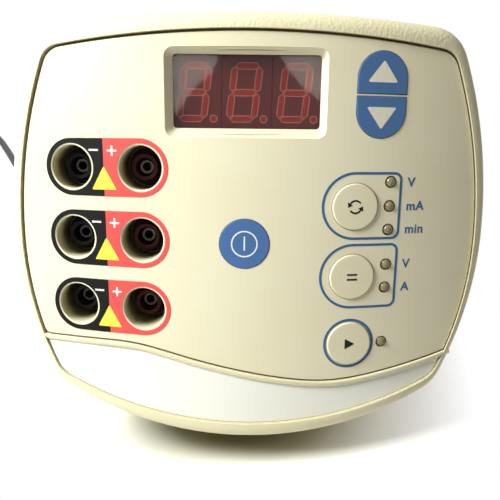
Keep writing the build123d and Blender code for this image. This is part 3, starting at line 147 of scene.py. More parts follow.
def spread(tree, value, low, high, **settings):
    """A value's way from low to high as 0 to 1, or as the settings say."""
    limits = {"From Min": low, "From Max": high}
    limits.update({name.replace("To_", "To "): end for name, end in settings.items()})
    return add(tree, "ShaderNodeMapRange", limits, {"Value": value}).outputs["Result"]


def reckoned(tree, operation, vector, other=None, result=0):
    """A vector reckoned from another, and from a plain or a linked second one."""
    settings, links = {"operation": operation}, {0: vector}
    if isinstance(other, bpy.types.NodeSocket):
        links[1] = other
    elif other is not None:
        settings[1] = other
    return add(tree, "ShaderNodeVectorMath", settings, links).outputs[result]


def bumped(tree, shader, height, depth):
    """Lets a height of 0 to 1 bump the surface by this many millimetres."""
    bump = add(tree, "ShaderNodeBump", {"Distance": depth * MM, "Strength": 1.0}, {"Height": height})
    tree.links.new(bump.outputs["Normal"], shader.inputs["Normal"])


def mottled(tree, place, colour, other, patch, share=0.5):
    """A colour that drifts towards another in patches of this many millimetres."""
    patches = add(tree, "ShaderNodeTexNoise", {"Scale": 1 / (patch * MM), "Detail": 4.0, "Roughness": 0.6},
                  {"Vector": place})
    amount = spread(tree, patches.outputs["Fac"], 0.35, 0.7, To_Max=share)
    mix = add(tree, "ShaderNodeMix", {"data_type": "RGBA", 6: linear(colour), 7: linear(other)}, {0: amount})
    return mix.outputs[2]


def pebbled(tree, place, shader, pebble, depth, sharpness=0.6):
    """Bumps the surface with a moulded grain: pebbles of this many millimetres, this deep."""
    cells = add(tree, "ShaderNodeTexVoronoi", {"Scale": 1 / (pebble * MM), "feature": "SMOOTH_F1",
                                               "Smoothness": 0.6}, {"Vector": place})
    fine = add(tree, "ShaderNodeTexNoise", {"Scale": 2.2 / (pebble * MM), "Detail": 3.0}, {"Vector": place})
    height = add(tree, "ShaderNodeMix", {0: 1 - sharpness}, {2: cells.outputs["Distance"],
                                                             3: fine.outputs["Fac"]})
    bumped(tree, shader, height.outputs[0], depth)


def uneven_gloss(tree, place, shader, low, high, patch):
    """Roughness that wanders between two values, as where hands have rubbed."""
    patches = add(tree, "ShaderNodeTexNoise", {"Scale": 1 / (patch * MM), "Detail": 5.0}, {"Vector": place})
    roughness = spread(tree, patches.outputs["Fac"], 0.3, 0.7, To_Min=low, To_Max=high)
    tree.links.new(roughness, shader.inputs["Roughness"])


def occlusion_shade(tree, colour, shade_colour, reach):
    """The same colour, with painted shade in the gaps and corners within this many millimetres, darker where
    the surface is more enclosed.
    """
    openness = add(tree, "ShaderNodeAmbientOcclusion", {"samples": 8, "Distance": reach * MM})
    unshaded = spread(tree, openness.outputs["AO"], 0.2, 0.8)
    mix = add(tree, "ShaderNodeMix", {"data_type": "RGBA", 6: linear(shade_colour)}, {0: unshaded, 7: colour})
    return mix.outputs[2]


def moulded_abs(name, colour, aged, pebble, depth, gloss=(0.42, 0.58), sharpness=0.6, shade_colour=None, **sockets):
    """ABS out of a textured tool: a soft sheen broken by the tool's grain, uneven yellowing, and, where a
    shade colour is given, painted shade in gaps and corners.
    """
    made, tree, shader, place = start(name, gloss[1], IOR=1.53, **sockets)
    surface = mottled(tree, place, colour, aged, 38.0)
    # painted shade: the colour darkens in gaps and corners, by ambient occlusion
    if shade_colour:
        surface = occlusion_shade(tree, surface, shade_colour, SHADE_REACH)
    tree.links.new(surface, shader.inputs["Base Color"])
    uneven_gloss(tree, place, shader, *gloss, 9.0)
    pebbled(tree, place, shader, pebble, depth, sharpness)
    return made


def cream_housing_abs():
    # leather-like grain of about 1.3 mm on the housing, which catches the light along the lip; painted shade
    # in its gaps and corners
    return moulded_abs("cream_housing_abs", "#EEE6C4", "#E8DCAE", 1.3, 0.22, shade_colour="#857752")


def cream_panel_abs():
    # fine spark-eroded satin, so that the crowned panel shades smoothly; painted shade in its gaps and
    # corners
    return moulded_abs("cream_panel_abs", "#F1E9CC", "#ECE0BE", 0.45, 0.006, (0.38, 0.46), shade_colour="#857752")


def shaded_well_abs():
    # the panel's satin ABS, painted greyer and darker down the wells as shade
    made, tree, shader, place = start("shaded_well_abs", 0.5, IOR=1.53)
    unshaded = mottled(tree, place, "#F1E9CC", "#ECE0BE", 38.0)
    deep_shade = mottled(tree, place, "#8C8463", "#7C7454", 6.0)
    axis = FACE_MIDDLE - OUT_OF_FACE * FACE_CROWN
    arm = reckoned(tree, "SUBTRACT", place, axis * MM)
    along_axis = reckoned(tree, "PROJECT", arm, UP_FACE)
    across_axis = reckoned(tree, "SUBTRACT", arm, along_axis)
    radius = reckoned(tree, "LENGTH", across_axis, result="Value")
    deep = spread(tree, radius, *((FACE_CROWN - depth) * MM for depth in WELL_SHADE_DEPTHS))
    mix = add(tree, "ShaderNodeMix", {"data_type": "RGBA"}, {0: deep, 6: unshaded, 7: deep_shade})
    tree.links.new(mix.outputs[2], shader.inputs["Base Color"])
    pebbled(tree, place, shader, 0.45, 0.006)
    return made


def white_trim_abs():
    # whiter than the case, with the same fine satin
    return moulded_abs("white_trim_abs", "#FBF9F2", "#F6F2E8", 0.45, 0.005, (0.34, 0.42))


def cream_key_abs():
    # the domed keys, rubbed a little smoother than the panel in their middles
    return moulded_abs("cream_key_abs", "#EEE6C8", "#E6D9B4", 0.5, 0.005, (0.3, 0.44))


def blue_key_abs():
    # the power key, satin with fine dust speckle
    return moulded_abs("blue_key_abs", "#446CA6", "#3C6196", 0.45, 0.005, (0.36, 0.48))


def slate_blue_key_abs():
    # the arrow keys, a darker blue
    return moulded_abs("slate_blue_key_abs", "#3F689C", "#375C8B", 0.45, 0.005, (0.36, 0.48))


def black_phenolic():
    # moulded socket bodies and inlet: near black, satin, with a faint orange peel
    return moulded_abs("black_phenolic", "#1B1B1C", "#242322", 0.7, 0.008, (0.3, 0.45))


def shaded_phenolic():
    # the negative sockets' bodies: the same black painted darker, as shade deep in their wells, and more matt
    return moulded_abs("shaded_phenolic", "#121212", "#191817", 0.7, 0.008, (0.5, 0.65),
                       Specular_IOR_Level=0.15)


def shaded_contact():
    # contacts deep in the collars: nickel painted dark grey as the shade there, and matt
    made, tree, shader, place = start("shaded_contact", 0.5, Metallic=1.0)
    tree.links.new(mottled(tree, place, "#5B564C", "#47433B", 3.0), shader.inputs["Base Color"])
    uneven_gloss(tree, place, shader, 0.4, 0.6, 2.0)
    return made


def red_socket_nylon():
    # the positive sockets' bodies, red painted dark as the shade of their wells
    return moulded_abs("red_socket_nylon", "#3A1210", "#300F0D", 0.7, 0.008, (0.45, 0.6),
                       Specular_IOR_Level=0.15)


def charcoal_label_film():
    # screen-printed polyester film: flat charcoal with a slight sheen and a very fine emboss
    return moulded_abs("charcoal_label_film", "#181817", "#151514", 0.3, 0.004, (0.5, 0.62),
                       Specular_IOR_Level=0.12)


def red_label_film():
    # the same film in coral red
    return moulded_abs("red_label_film", "#F4524E", "#EE4A48", 0.3, 0.004, (0.4, 0.52))


def printing_ink(name, colour, other):
    """Screen ink: matte, faintly uneven where the squeegee passed."""
    made, tree, shader, place = start(name, 0.7, IOR=1.5, Specular_IOR_Level=0.25)
    tree.links.new(mottled(tree, place, colour, other, 1.6, 0.7), shader.inputs["Base Color"])
    pebbled(tree, place, shader, 0.2, 0.003)
    return made


def tinted_acrylic():
    # cast acrylic filter: wine red, glossy, with the faint waviness of sheet
    made, tree, shader, place = start("tinted_acrylic", 0.035, IOR=1.6, Alpha=0.24)
    tree.links.new(mottled(tree, place, "#4A1413", "#431110", 24.0), shader.inputs["Base Color"])
    waves = add(tree, "ShaderNodeTexNoise", {"Scale": 1 / (14 * MM), "Detail": 2.0}, {"Vector": place})
    bumped(tree, shader, waves.outputs["Fac"], 0.02)
    return made


def diffusing_segment():
    # unlit red light guides of the digits, a dull red
    made, tree, shader, place = start("diffusing_segment", 0.45, IOR=1.5)
    tree.links.new(mottled(tree, place, "#B93430", "#A82D2A", 3.0), shader.inputs["Base Color"])
    return made


def segment_rim():
    # the light guides' moulded rims, which scatter paler than their middles
    made, tree, shader, place = start("segment_rim", 0.4, IOR=1.5)
    tree.links.new(mottled(tree, place, "#FFA184", "#FF8A6C", 3.0), shader.inputs["Base Color"])
    return made


def digit_face_epoxy():
    # cast face of the digits, dark red
    made, tree, shader, place = start("digit_face_epoxy", 0.4, IOR=1.5)
    tree.links.new(mottled(tree, place, "#6A2422", "#5E1E1D", 12.0), shader.inputs["Base Color"])
    return made


def diffusing_lamp():
    # unlit 5 mm lamp: cloudy amber-grey epoxy with a glossy dome
    made, tree, shader, place = start("diffusing_lamp", 0.16, IOR=1.53, Transmission_Weight=0.25,
                                      Subsurface_Weight=0.3, Subsurface_Scale=0.002)
    tree.links.new(mottled(tree, place, "#9A8C62", "#7D7048", 2.5, 0.9), shader.inputs["Base Color"])
    return made


def nickel_plate():
    # bright nickel over brass, slightly hazed
    made, tree, shader, place = start("nickel_plate", 0.24, Metallic=1.0)
    tree.links.new(mottled(tree, place, "#CFC8BA", "#BDB5A5", 4.0), shader.inputs["Base Color"])
    uneven_gloss(tree, place, shader, 0.16, 0.34, 2.0)
    return made


def zinc_plate():
    # blue-white zinc on the screws, with the dull streaks of barrel plating
    made, tree, shader, place = start("zinc_plate", 0.34, Metallic=1.0)
    tree.links.new(mottled(tree, place, "#C3C6C9", "#A9ABA9", 2.0), shader.inputs["Base Color"])
    uneven_gloss(tree, place, shader, 0.25, 0.48, 1.2)
    return made


def brushed_foil():
    # satin aluminium foil of the bare rating plate, brushed along its length
    made, tree, shader, place = start("brushed_foil", 0.38, Metallic=1.0, Anisotropic=0.5)
    tree.links.new(mottled(tree, place, "#C9CACA", "#BABBBC", 8.0), shader.inputs["Base Color"])
    stretched = add(tree, "ShaderNodeMapping", {"Scale": (12.0, 900.0, 900.0)}, {"Vector": place})
    lines = add(tree, "ShaderNodeTexNoise", {"Scale": 3.0, "Detail": 3.0}, {"Vector": stretched.outputs[0]})
    bumped(tree, shader, lines.outputs["Fac"], 0.006)
    return made


def moulded_rubber():
    # feet: matt black rubber with bloom
    made, tree, shader, place = start("moulded_rubber", 0.75, IOR=1.52)
    tree.links.new(mottled(tree, place, "#222222", "#31302E", 6.0), shader.inputs["Base Color"])
    pebbled(tree, place, shader, 0.5, 0.02)
    return made


def flexible_pvc():
    # mains lead: black plasticised PVC, a soft sheen and fine extrusion texture
    made, tree, shader, place = start("flexible_pvc", 0.48, IOR=1.53)
    tree.links.new(mottled(tree, place, "#1D1D1E", "#29292A", 14.0), shader.inputs["Base Color"])
    uneven_gloss(tree, place, shader, 0.38, 0.58, 6.0)
    pebbled(tree, place, shader, 0.6, 0.012)
    return made


def hook_and_loop():
    # tie: woven hook-and-loop band, rough and fibrous
    made, tree, shader, place = start("hook_and_loop", 0.9, Sheen_Weight=0.4)
    tree.links.new(mottled(tree, place, "#202124", "#2E2F33", 1.2, 0.9), shader.inputs["Base Color"])
    pebbled(tree, place, shader, 0.5, 0.12, 0.8)
    return made


def solder_resist():
    # green epoxy resist over glass laminate, glossy with a faint weave
    made, tree, shader, place = start("solder_resist", 0.28, IOR=1.5)
    tree.links.new(mottled(tree, place, "#1F5B33", "#184A2A", 7.0), shader.inputs["Base Color"])
    pebbled(tree, place, shader, 0.6, 0.01)
    return made


def varnished_laminations():
    # stacked core plates, 0.5 mm each, under dark varnish
    made, tree, shader, place = start("varnished_laminations", 0.45, IOR=1.5, Metallic=0.4)
    tree.links.new(mottled(tree, place, "#3A3836", "#2A2928", 6.0), shader.inputs["Base Color"])
    plates = add(tree, "ShaderNodeTexWave", {"Scale": 1 / (3.2 * MM), "bands_direction": "X"},
                 {"Vector": place})
    bumped(tree, shader, plates.outputs["Fac"], 0.1)
    return made


def polyester_winding_film():
    # yellow film wrapped round the copper, glossy with fine wraps
    made, tree, shader, place = start("polyester_winding_film", 0.25, IOR=1.6)
    tree.links.new(mottled(tree, place, "#D9A62C", "#C28F22", 9.0), shader.inputs["Base Color"])
    wraps = add(tree, "ShaderNodeTexWave", {"Scale": 1 / (9 * MM), "bands_direction": "Z", "Distortion": 1.0},
                {"Vector": place})
    bumped(tree, shader, wraps.outputs["Fac"], 0.2)
    return made


def extruded_aluminium():
    # clear-anodised extrusion with faint die lines
    made, tree, shader, place = start("extruded_aluminium", 0.35, Metallic=1.0)
    tree.links.new(mottled(tree, place, "#C2C4C6", "#AFB1B3", 10.0), shader.inputs["Base Color"])
    uneven_gloss(tree, place, shader, 0.28, 0.44, 3.0)
    return made


def shrink_sleeve():
    # capacitor sleeve: glossy blue-black PVC film
    made, tree, shader, place = start("shrink_sleeve", 0.22, IOR=1.53)
    tree.links.new(mottled(tree, place, "#22305E", "#1B2750", 8.0), shader.inputs["Base Color"])
    return made


def relay_polyester():
    # relay covers: glossy blue moulding
    made, tree, shader, place = start("relay_polyester", 0.25, IOR=1.55)
    tree.links.new(mottled(tree, place, "#2B5AA6", "#244E93", 8.0), shader.inputs["Base Color"])
    return made


def ribbon_pvc():
    # grey flat cable, ribbed at 1.27 mm by its cores
    made, tree, shader, place = start("ribbon_pvc", 0.4, IOR=1.53)
    tree.links.new(mottled(tree, place, "#9EA0A3", "#8C8E91", 10.0), shader.inputs["Base Color"])
    cores = add(tree, "ShaderNodeTexWave", {"Scale": 1 / (8.0 * MM), "bands_direction": "X"},
                {"Vector": place})
    bumped(tree, shader, cores.outputs["Fac"], 0.3)
    return made


def fuse_glass_tube():
    # clear glass tube of the fuse
    made, tree, shader, place = start("fuse_glass_tube", 0.04, IOR=1.5, Transmission_Weight=0.9)
    tree.links.new(mottled(tree, place, "#F2F6F4", "#E4ECE8", 8.0), shader.inputs["Base Color"])
    return made


FINISHES = {
    "cream_plastic": cream_housing_abs(), "panel_plastic": cream_panel_abs(), "white_trim": white_trim_abs(),
    "tinted_window": tinted_acrylic(), "lit_segment": diffusing_segment(), "lamp_lens": diffusing_lamp(),
    "dark_plastic": black_phenolic(), "red_plastic": red_socket_nylon(), "blue_key": blue_key_abs(),
    "slate_key": slate_blue_key_abs(), "cream_key": cream_key_abs(), "black_label": charcoal_label_film(),
    "red_label": red_label_film(), "nickel": nickel_plate(), "zinc_steel": zinc_plate(),
    "rubber": moulded_rubber(), "fuse_glass": fuse_glass_tube(), "plate": brushed_foil(),
    "circuit_board": solder_resist(), "core_steel": varnished_laminations(),
    "copper_winding": polyester_winding_film(), "aluminium": extruded_aluminium(),
    "capacitor_sleeve": shrink_sleeve(), "relay_case": relay_polyester(), "ribbon": ribbon_pvc(),
    "lead_sheath": flexible_pvc(), "tie": hook_and_loop(),
}
WHITE_INK = printing_ink("white_ink", "#FAF8F0", "#EFECE2")
CREAM_INK = printing_ink("cream_ink", "#F1EAD9", "#E6DDC8")
YELLOW_INK = printing_ink("yellow_ink", "#FFE75A", "#F7DA48")
SLATE_INK = printing_ink("slate_ink", "#416D9E", "#3A6291")
BLACK_INK = printing_ink("black_ink", "#0B0A0A", "#121110")
SEGMENT_RIM = segment_rim()
# pieces that differ from the rest of their slot
OWN_FINISHES = {
    "digit_modules": digit_face_epoxy(), "socket_wells": shaded_well_abs(),
    "negative_socket_bodies": shaded_phenolic(), "socket_contacts": shaded_contact(),
}


def finish_with(piece, material):
    piece.data.materials.clear()
    piece.data.materials.append(material)


def dress_nodes():
    """Gives every node of the model the finish of its material slot."""
    slots = {part["node"]: part["material_slot"] for part in frame["record"]["subparts"]}
    for name, piece in frame["nodes"].items():
        material = OWN_FINISHES.get(name, FINISHES[slots[name]])
        for place in piece.material_slots:
            place.material = material


# Shapes in code

def keep(mesh, name, material, body):
    """Makes a piece of a finished mesh, and lets it ride on its body."""
    piece = bpy.data.objects.new(name, mesh)
    bpy.context.scene.collection.objects.link(piece)
    finish_with(piece, material)
    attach(piece, body)
    return piece


def built(name, bm, material, body, smooth_angle=35.0):
    mesh = bpy.data.meshes.new(name)
    bmesh.ops.recalc_face_normals(bm, faces=bm.faces)
    bm.to_mesh(mesh)
    bm.free()
    mesh.shade_smooth()
    mesh.set_sharp_from_angle(angle=math.radians(smooth_angle))
    return keep(mesh, name, material, body)


def arc_points(centre, radius, start_deg, end_deg, step_deg=6.0):
    count = max(2, math.ceil(abs(end_deg - start_deg) / step_deg))
    angles = [math.radians(start_deg + (end_deg - start_deg) * k / count) for k in range(count + 1)]
    return [(centre[0] + radius * math.cos(a), centre[1] + radius * math.sin(a)) for a in angles]


def ring_points(centre, radius, step_deg=6.0):
    return arc_points(centre, radius, 0.0, 360.0, step_deg)[:-1]


def along(points, step=3.0, closed=True):
    """The same line with more points, so that it follows the crown."""
    result = []
    pairs = zip(points, points[1:] + points[:1]) if closed else zip(points, points[1:])
    for a, b in pairs:
        count = max(1, math.ceil(math.dist(a, b) / step))
        result += [tuple(p + (q - p) * k / count for p, q in zip(a, b)) for k in range(count)]
    return result if closed else result + [points[-1]]


def print_line(bm, points, width, rise, closed=True, place=on_face):
    """A printed line of one width along these points, as a thin solid skin on the face."""
    count = len(points)
    rows = []
    for i, (u, v) in enumerate(points):
        before = points[i - 1] if closed or i > 0 else points[i]
        after = points[(i + 1) % count] if closed or i < count - 1 else points[i]
        run = Vector((after[0] - before[0], after[1] - before[1])).normalized()
        side = Vector((-run.y, run.x)) * width / 2
        edges = [(u + side.x, v + side.y), (u - side.x, v - side.y)]
        top = [bm.verts.new(place(*e, rise + INK)) for e in edges]
        base = [bm.verts.new(place(*e, rise - INK / 2)) for e in edges]
        rows.append((top[0], top[1], base[1], base[0]))
    for i in range(count if closed else count - 1):
        a, b = rows[i], rows[(i + 1) % count]
        for k in range(4):
            bm.faces.new((a[k], a[(k + 1) % 4], b[(k + 1) % 4], b[k]))
    if not closed:
        bm.faces.new(rows[0])
        bm.faces.new(rows[-1][::-1])


def print_patch(bm, outline, rise, centre=None):
    """A filled printed shape: a fan from its middle, as a thin solid skin on the face."""
    middle = centre or tuple(sum(p[i] for p in outline) / len(outline) for i in (0, 1))
    top = [bm.verts.new(on_face(*p, rise + INK)) for p in outline]
    base = [bm.verts.new(on_face(*p, rise - INK / 2)) for p in outline]
    high = bm.verts.new(on_face(*middle, rise + INK))
    low = bm.verts.new(on_face(*middle, rise - INK / 2))
    for i in range(len(outline)):
        j = (i + 1) % len(outline)
        bm.faces.new((high, top[i], top[j]))
        bm.faces.new((low, base[j], base[i]))
        bm.faces.new((top[i], base[i], base[j], top[j]))


def rounded_corners(points, radius, step_deg=15.0):
    """A closed outline with each corner rounded."""
    result = []
    count = len(points)
    for i in range(count):
        here = Vector(points[i])
        to_last = (Vector(points[i - 1]) - here).normalized()
        to_next = (Vector(points[(i + 1) % count]) - here).normalized()
        half = to_last.angle(to_next) / 2
        centre = here + (to_last + to_next).normalized() * radius / math.sin(half)
        first = here + to_last * radius / math.tan(half) - centre
        last = here + to_next * radius / math.tan(half) - centre
        turn = first.angle_signed(last)
        steps = max(2, math.ceil(abs(math.degrees(turn)) / step_deg))
        for k in range(steps + 1):
            spun = Matrix.Rotation(-turn * k / steps, 2) @ first
            result.append(tuple(centre + spun))
    return result


def printed(name, material, body, rise, patches=(), lines=()):
    """One printed piece from filled outlines and from lines of (points, width, closed)."""
    bm = bmesh.new()
    for outline in patches:
        print_patch(bm, along(outline, 2.0), rise)
    for points, width, closed in lines:
        print_line(bm, points, width, rise, closed)
    return built(name, bm, material, body)


# Marks on the face

SIGN_STROKE, SIGN_REACH = 0.8, 4.3
MINUS_PLACE, PLUS_PLACE = (-4.4, 7.4), (4.0, 7.2)  # from the middle of a pair of sockets
TRIANGLE_HALF, TRIANGLE_FOOT, TRIANGLE_TOP = 5.7, -9.6, 0.6
POWER_RING, POWER_LINE, POWER_STEM = 5.5, 0.6, (0.65, 6.3)
ARROW_HALF = 6.65
UP_ARROW = (68.15, 77.0, 0.2)  # foot, tip, and how far the tip stands off the arrow's middle
DOWN_ARROW = (58.15, 49.0, 0.1)
BOX_LINE, BOX_RIGHT, BOX_CORNER = 1.1, 66.7, 3.0
SETTINGS_BOX, CONSTANT_BOX = (30.6, 2.2), (-0.65, -29.1)  # top and bottom
RUN_RING = 11.15
SYMBOL_LEFT, SYMBOL_HEIGHT = 69.8, 3.9
SYMBOLS = [("volt_symbol", "V", 24.9), ("milliamp_symbol", "mA", 14.5), ("minute_symbol", "min", 4.2),
           ("volt_symbol_low", "V", -11.6), ("amp_symbol", "A", -22.3)]
CAPITAL_SHARE = 0.69  # height of a capital letter as a share of the letters' size
ARC_RADIUS, ARC_LINE, ARC_SPAN = 2.7, 0.75, 115.0
ARROWHEAD = (1.4, 4.0, 1.9)  # inner and outer corner from the arcs' middle, and reach
EQUALS_BAR, EQUALS_RISE = (4.6, 0.8), 1.1
START_TRIANGLE = (-1.9, 2.6, 2.5)  # foot and tip from the key's middle, and half its height


def bar(centre, width, height):
    u, v = centre
    return [(u - width / 2, v - height / 2), (u + width / 2, v - height / 2),
            (u + width / 2, v + height / 2), (u - width / 2, v + height / 2)]


def polarity_marks():
    arm_middle, arm_length = (SIGN_REACH + SIGN_STROKE) / 4, (SIGN_REACH - SIGN_STROKE) / 2
    for k, v in enumerate(SOCKET_ROWS):
        minus = bar((LABEL_DIVIDE + MINUS_PLACE[0], v + MINUS_PLACE[1]), SIGN_REACH, SIGN_STROKE)
        plus_u, plus_v = LABEL_DIVIDE + PLUS_PLACE[0], v + PLUS_PLACE[1]
        upright = bar((plus_u, plus_v), SIGN_STROKE, SIGN_REACH)
        level = [bar((plus_u + s * arm_middle, plus_v), arm_length, SIGN_STROKE) for s in (-1, 1)]
        printed(f"minus_mark_{k + 1}", WHITE_INK, "case", LABEL_RISE, [minus])
        printed(f"plus_mark_{k + 1}", WHITE_INK, "case", LABEL_RISE, [upright, *level])
        triangle = [(LABEL_DIVIDE - TRIANGLE_HALF, v + TRIANGLE_FOOT),
                    (LABEL_DIVIDE + TRIANGLE_HALF, v + TRIANGLE_FOOT), (LABEL_DIVIDE, v + TRIANGLE_TOP)]
        printed(f"triangle_mark_{k + 1}", YELLOW_INK, "case", LABEL_RISE, [rounded_corners(triangle, 0.35)])


def power_mark():
    ring = (ring_points(POWER_KEY, POWER_RING), POWER_LINE, True)
    stem = rounded_corners(bar((POWER_KEY[0], POWER_KEY[1] + 0.25), *POWER_STEM), 0.3)
    printed("power_mark", WHITE_INK, "power_key_body", FLAT_KEY_RISE, [stem], [ring])


def arrow_marks():
    for name, side, (foot, tip, tip_off) in (("up", 1, UP_ARROW), ("down", -1, DOWN_ARROW)):
        arrow = [(ARROW_U - side * ARROW_HALF, foot), (ARROW_U + side * ARROW_HALF, foot),
                 (ARROW_U + tip_off, tip)]
        printed(f"{name}_mark", CREAM_INK, f"{name}_key_body", FLAT_KEY_RISE, [rounded_corners(arrow, 0.5)])


def group_box(name, top, bottom):
    """Line round a key and its lamps: round on the left, square with small corners on the right."""
    corner_u = BOX_RIGHT - BOX_CORNER
    outline = arc_points((KEY_COLUMN, (top + bottom) / 2), (top - bottom) / 2, 90.0, 270.0)
    outline += arc_points((corner_u, bottom + BOX_CORNER), BOX_CORNER, 270.0, 360.0, 15.0)
    outline += arc_points((corner_u, top - BOX_CORNER), BOX_CORNER, 0.0, 90.0, 15.0)
    printed(name, SLATE_INK, "case", 0.0, [], [(along(outline), BOX_LINE, True)])


def lamp_label(name, text, baseline):
    """A unit's symbol beside its lamp, in printed letters."""
    curve = bpy.data.curves.new(name, "FONT")
    curve.body = text
    curve.size = SYMBOL_HEIGHT / CAPITAL_SHARE
    curve.offset = 0.12
    curve.extrude = INK / 2
    curve.space_character = 1.08
    holder = bpy.data.objects.new(name + "_draft", curve)
    mesh = bpy.data.meshes.new_from_object(holder)
    bpy.data.objects.remove(holder)
    for vertex in mesh.vertices:
        x, y, z = vertex.co
        vertex.co = on_face(SYMBOL_LEFT + x, baseline + y, z + INK / 2)
    keep(mesh, name, SLATE_INK, "case")


def digit_outlines(middle):
    """The outlines of the seven slanted segments of one digit."""
    x, y = ((size - SEGMENT_WIDTH) / 2 for size in DIGIT_SIZE)
    bars = [((-x, h * y), (x, h * y)) for h in (-1, 0, 1)]
    bars += [((s * x, 0), (s * x, h * y)) for s in (-1, 1) for h in (-1, 1)]
    outlines = []
    for bar_ends in bars:
        start_point, end_point = (Vector((px + DIGIT_SLANT * py, py)) + middle for px, py in bar_ends)
        run = (end_point - start_point).normalized()
        side = Vector((-run.y, run.x)) * SEGMENT_WIDTH / 2
        a, b = start_point + run * SEGMENT_JOINT, end_point - run * SEGMENT_JOINT
        tip = run * SEGMENT_WIDTH / 2
        outlines.append([a, a + tip + side, b - tip + side, b, b - tip - side, a + tip - side])
    return outlines


def digit_rims():
    """The pale moulded rims round the digits' unlit segments and dots."""
    for k in range(3):
        middle = Vector((DISPLAY_MIDDLE[0] + (k - 1) * DIGIT_PITCH + DIGIT_SHIFT, DISPLAY_MIDDLE[1]))
        dot = (middle.x + DIGIT_SIZE[0] / 2 + DOT_GAP, middle.y - (DIGIT_SIZE[1] - SEGMENT_WIDTH) / 2)
        bm = bmesh.new()
        for outline in [*digit_outlines(middle), ring_points(dot, DOT_RADIUS, 20.0)]:
            print_line(bm, outline, RIM_WIDTH, 0.0, True, on_digits)
        built(f"digit_rims_{k + 1}", bm, SEGMENT_RIM, "case")


def seam_point(u):
    """Height of the seam at u, on a smooth curve through its points."""
    k = max(1, min(len(SEAM) - 3, sum(point[0] <= u for point in SEAM) - 1))
    p0, p1, p2, p3 = SEAM[k - 1:k + 3]
    t = (u - p1[0]) / (p2[0] - p1[0])
    slopes = [(c[1] - a[1]) / (c[0] - a[0]) * (p2[0] - p1[0]) for a, c in ((p0, p2), (p1, p3))]
    return ((2 * t**3 - 3 * t**2 + 1) * p1[1] + (t**3 - 2 * t**2 + t) * slopes[0]
            + (3 * t**2 - 2 * t**3) * p2[1] + (t**3 - t**2) * slopes[1])


def seam_bead():
    """The rounded bead of the case that runs between panel and trim."""
    bm = bmesh.new()
    rows = []
    for k in range(BEAD_STEPS + 1):
        u = BEAD_ENDS[0] + (BEAD_ENDS[1] - BEAD_ENDS[0]) * k / BEAD_STEPS
        here = Vector((u, seam_point(u)))
        run = Vector((2.0, seam_point(u + 1.0) - seam_point(u - 1.0))).normalized()
        down = Vector((run.y, -run.x))
        rows.append([bm.verts.new(on_face(*(here + down * drop), rise)) for drop, rise in BEAD_SECTION])
    for a, b in zip(rows, rows[1:]):
        for k in range(len(BEAD_SECTION)):
            n = (k + 1) % len(BEAD_SECTION)
            bm.faces.new((a[k], a[n], b[n], b[k]))
    bm.faces.new(rows[0])
    bm.faces.new(rows[-1][::-1])
    built("seam_bead", bm, FINISHES["cream_plastic"], "case", 50.0)


def face_marks():
    polarity_marks()
    power_mark()
    arrow_marks()
    group_box("settings_box", *SETTINGS_BOX)
    group_box("constant_box", *CONSTANT_BOX)
    run_ring = (ring_points((KEY_COLUMN, RUN_V), RUN_RING), BOX_LINE, True)
    printed("run_ring", SLATE_INK, "case", 0.0, [], [run_ring])
    for name, text, baseline in SYMBOLS:
        lamp_label(name, text, baseline)


def key_marks():
    """Plain pictures on the round keys: circling arrows, an equals sign and a start triangle."""
    centre = (KEY_COLUMN, SETTINGS_V)
    arcs, heads = [], []
    for first in (35.0, 215.0):
        last = first + ARC_SPAN
        arcs.append((arc_points(centre, ARC_RADIUS, first, last, 10.0), ARC_LINE, False))
        a = math.radians(last)
        out = Vector((math.cos(a), math.sin(a)))
        ahead = Vector((-out.y, out.x))
        inner, outer, reach = ARROWHEAD
        corners = (out * inner, out * outer, out * ARC_RADIUS + ahead * reach)
        heads.append([tuple(Vector(centre) + corner) for corner in corners])
    printed("settings_mark", BLACK_INK, "set_key_body", ROUND_KEY_RISE, heads, arcs)
    bars = [bar((KEY_COLUMN, CONSTANT_V + s * EQUALS_RISE), *EQUALS_BAR) for s in (-1, 1)]
    printed("constant_mark", BLACK_INK, "constant_key_body", ROUND_KEY_RISE, bars)
    foot, tip, half = START_TRIANGLE
    triangle = [(KEY_COLUMN + foot, RUN_V - half), (KEY_COLUMN + tip, RUN_V),
                (KEY_COLUMN + foot, RUN_V + half)]
    printed("run_mark", BLACK_INK, "run_key_body", ROUND_KEY_RISE, [rounded_corners(triangle, 0.2)])


# Mains lead

LEAD = 7.0
RELIEF_END = (-40.0, 170.5, 40.0)
COIL_MIDDLE = (-85.6, 283.0)
COIL_LOW, COIL_LIFT = 4.7, 7.5
COIL_OUTER, COIL_PITCH = 47.6, 7.7
COIL_HALF_TURNS = 11
COIL_POINTS = 16  # control points in each whole turn
LEAD_START = [(-40.0, 188.0, 40.0), (-39.7, 212.0, 29.5), (-38.6, 236.0, 12.5), (-38.0, 257.0, 4.7)]
LEAD_END = [(-133.2, 261.0, 12.2), (-133.7, 237.0, 7.6), (-134.6, 216.0, 4.0), (-137.0, 195.5, 3.5),
            (-147.3, 177.2, 3.5), (-165.3, 166.4, 3.5), (-186.4, 165.7, 3.5), (-204.8, 175.6, 3.5),
            (-224.0, 206.0, 3.5), (-252.5, 249.0, 3.5), (-278.5, 291.0, 3.5), (-309.0, 338.0, 3.6),
            (-330.0, 356.5, 9.0)]
PLUG_POINT = (-344.0, 363.6, 9.0)


def coil_points():
    """Control points of the put-away coil: in along the lower layer, up, and out along the upper."""
    points = []
    count = COIL_HALF_TURNS * COIL_POINTS // 2
    swell = 1 / math.cos(math.pi / COIL_POINTS)
    for k in range(count):
        turn = (k + 0.5) * 2 / COIL_POINTS
        radius = COIL_OUTER - min(turn, COIL_HALF_TURNS - turn) * COIL_PITCH / 2
        climb = min(1.0, max(0.0, turn - COIL_HALF_TURNS // 2))
        angle = turn * math.pi
        points.append((COIL_MIDDLE[0] + radius * swell * math.cos(angle),
                       COIL_MIDDLE[1] + radius * swell * math.sin(angle), COIL_LOW + climb * COIL_LIFT))
    return points


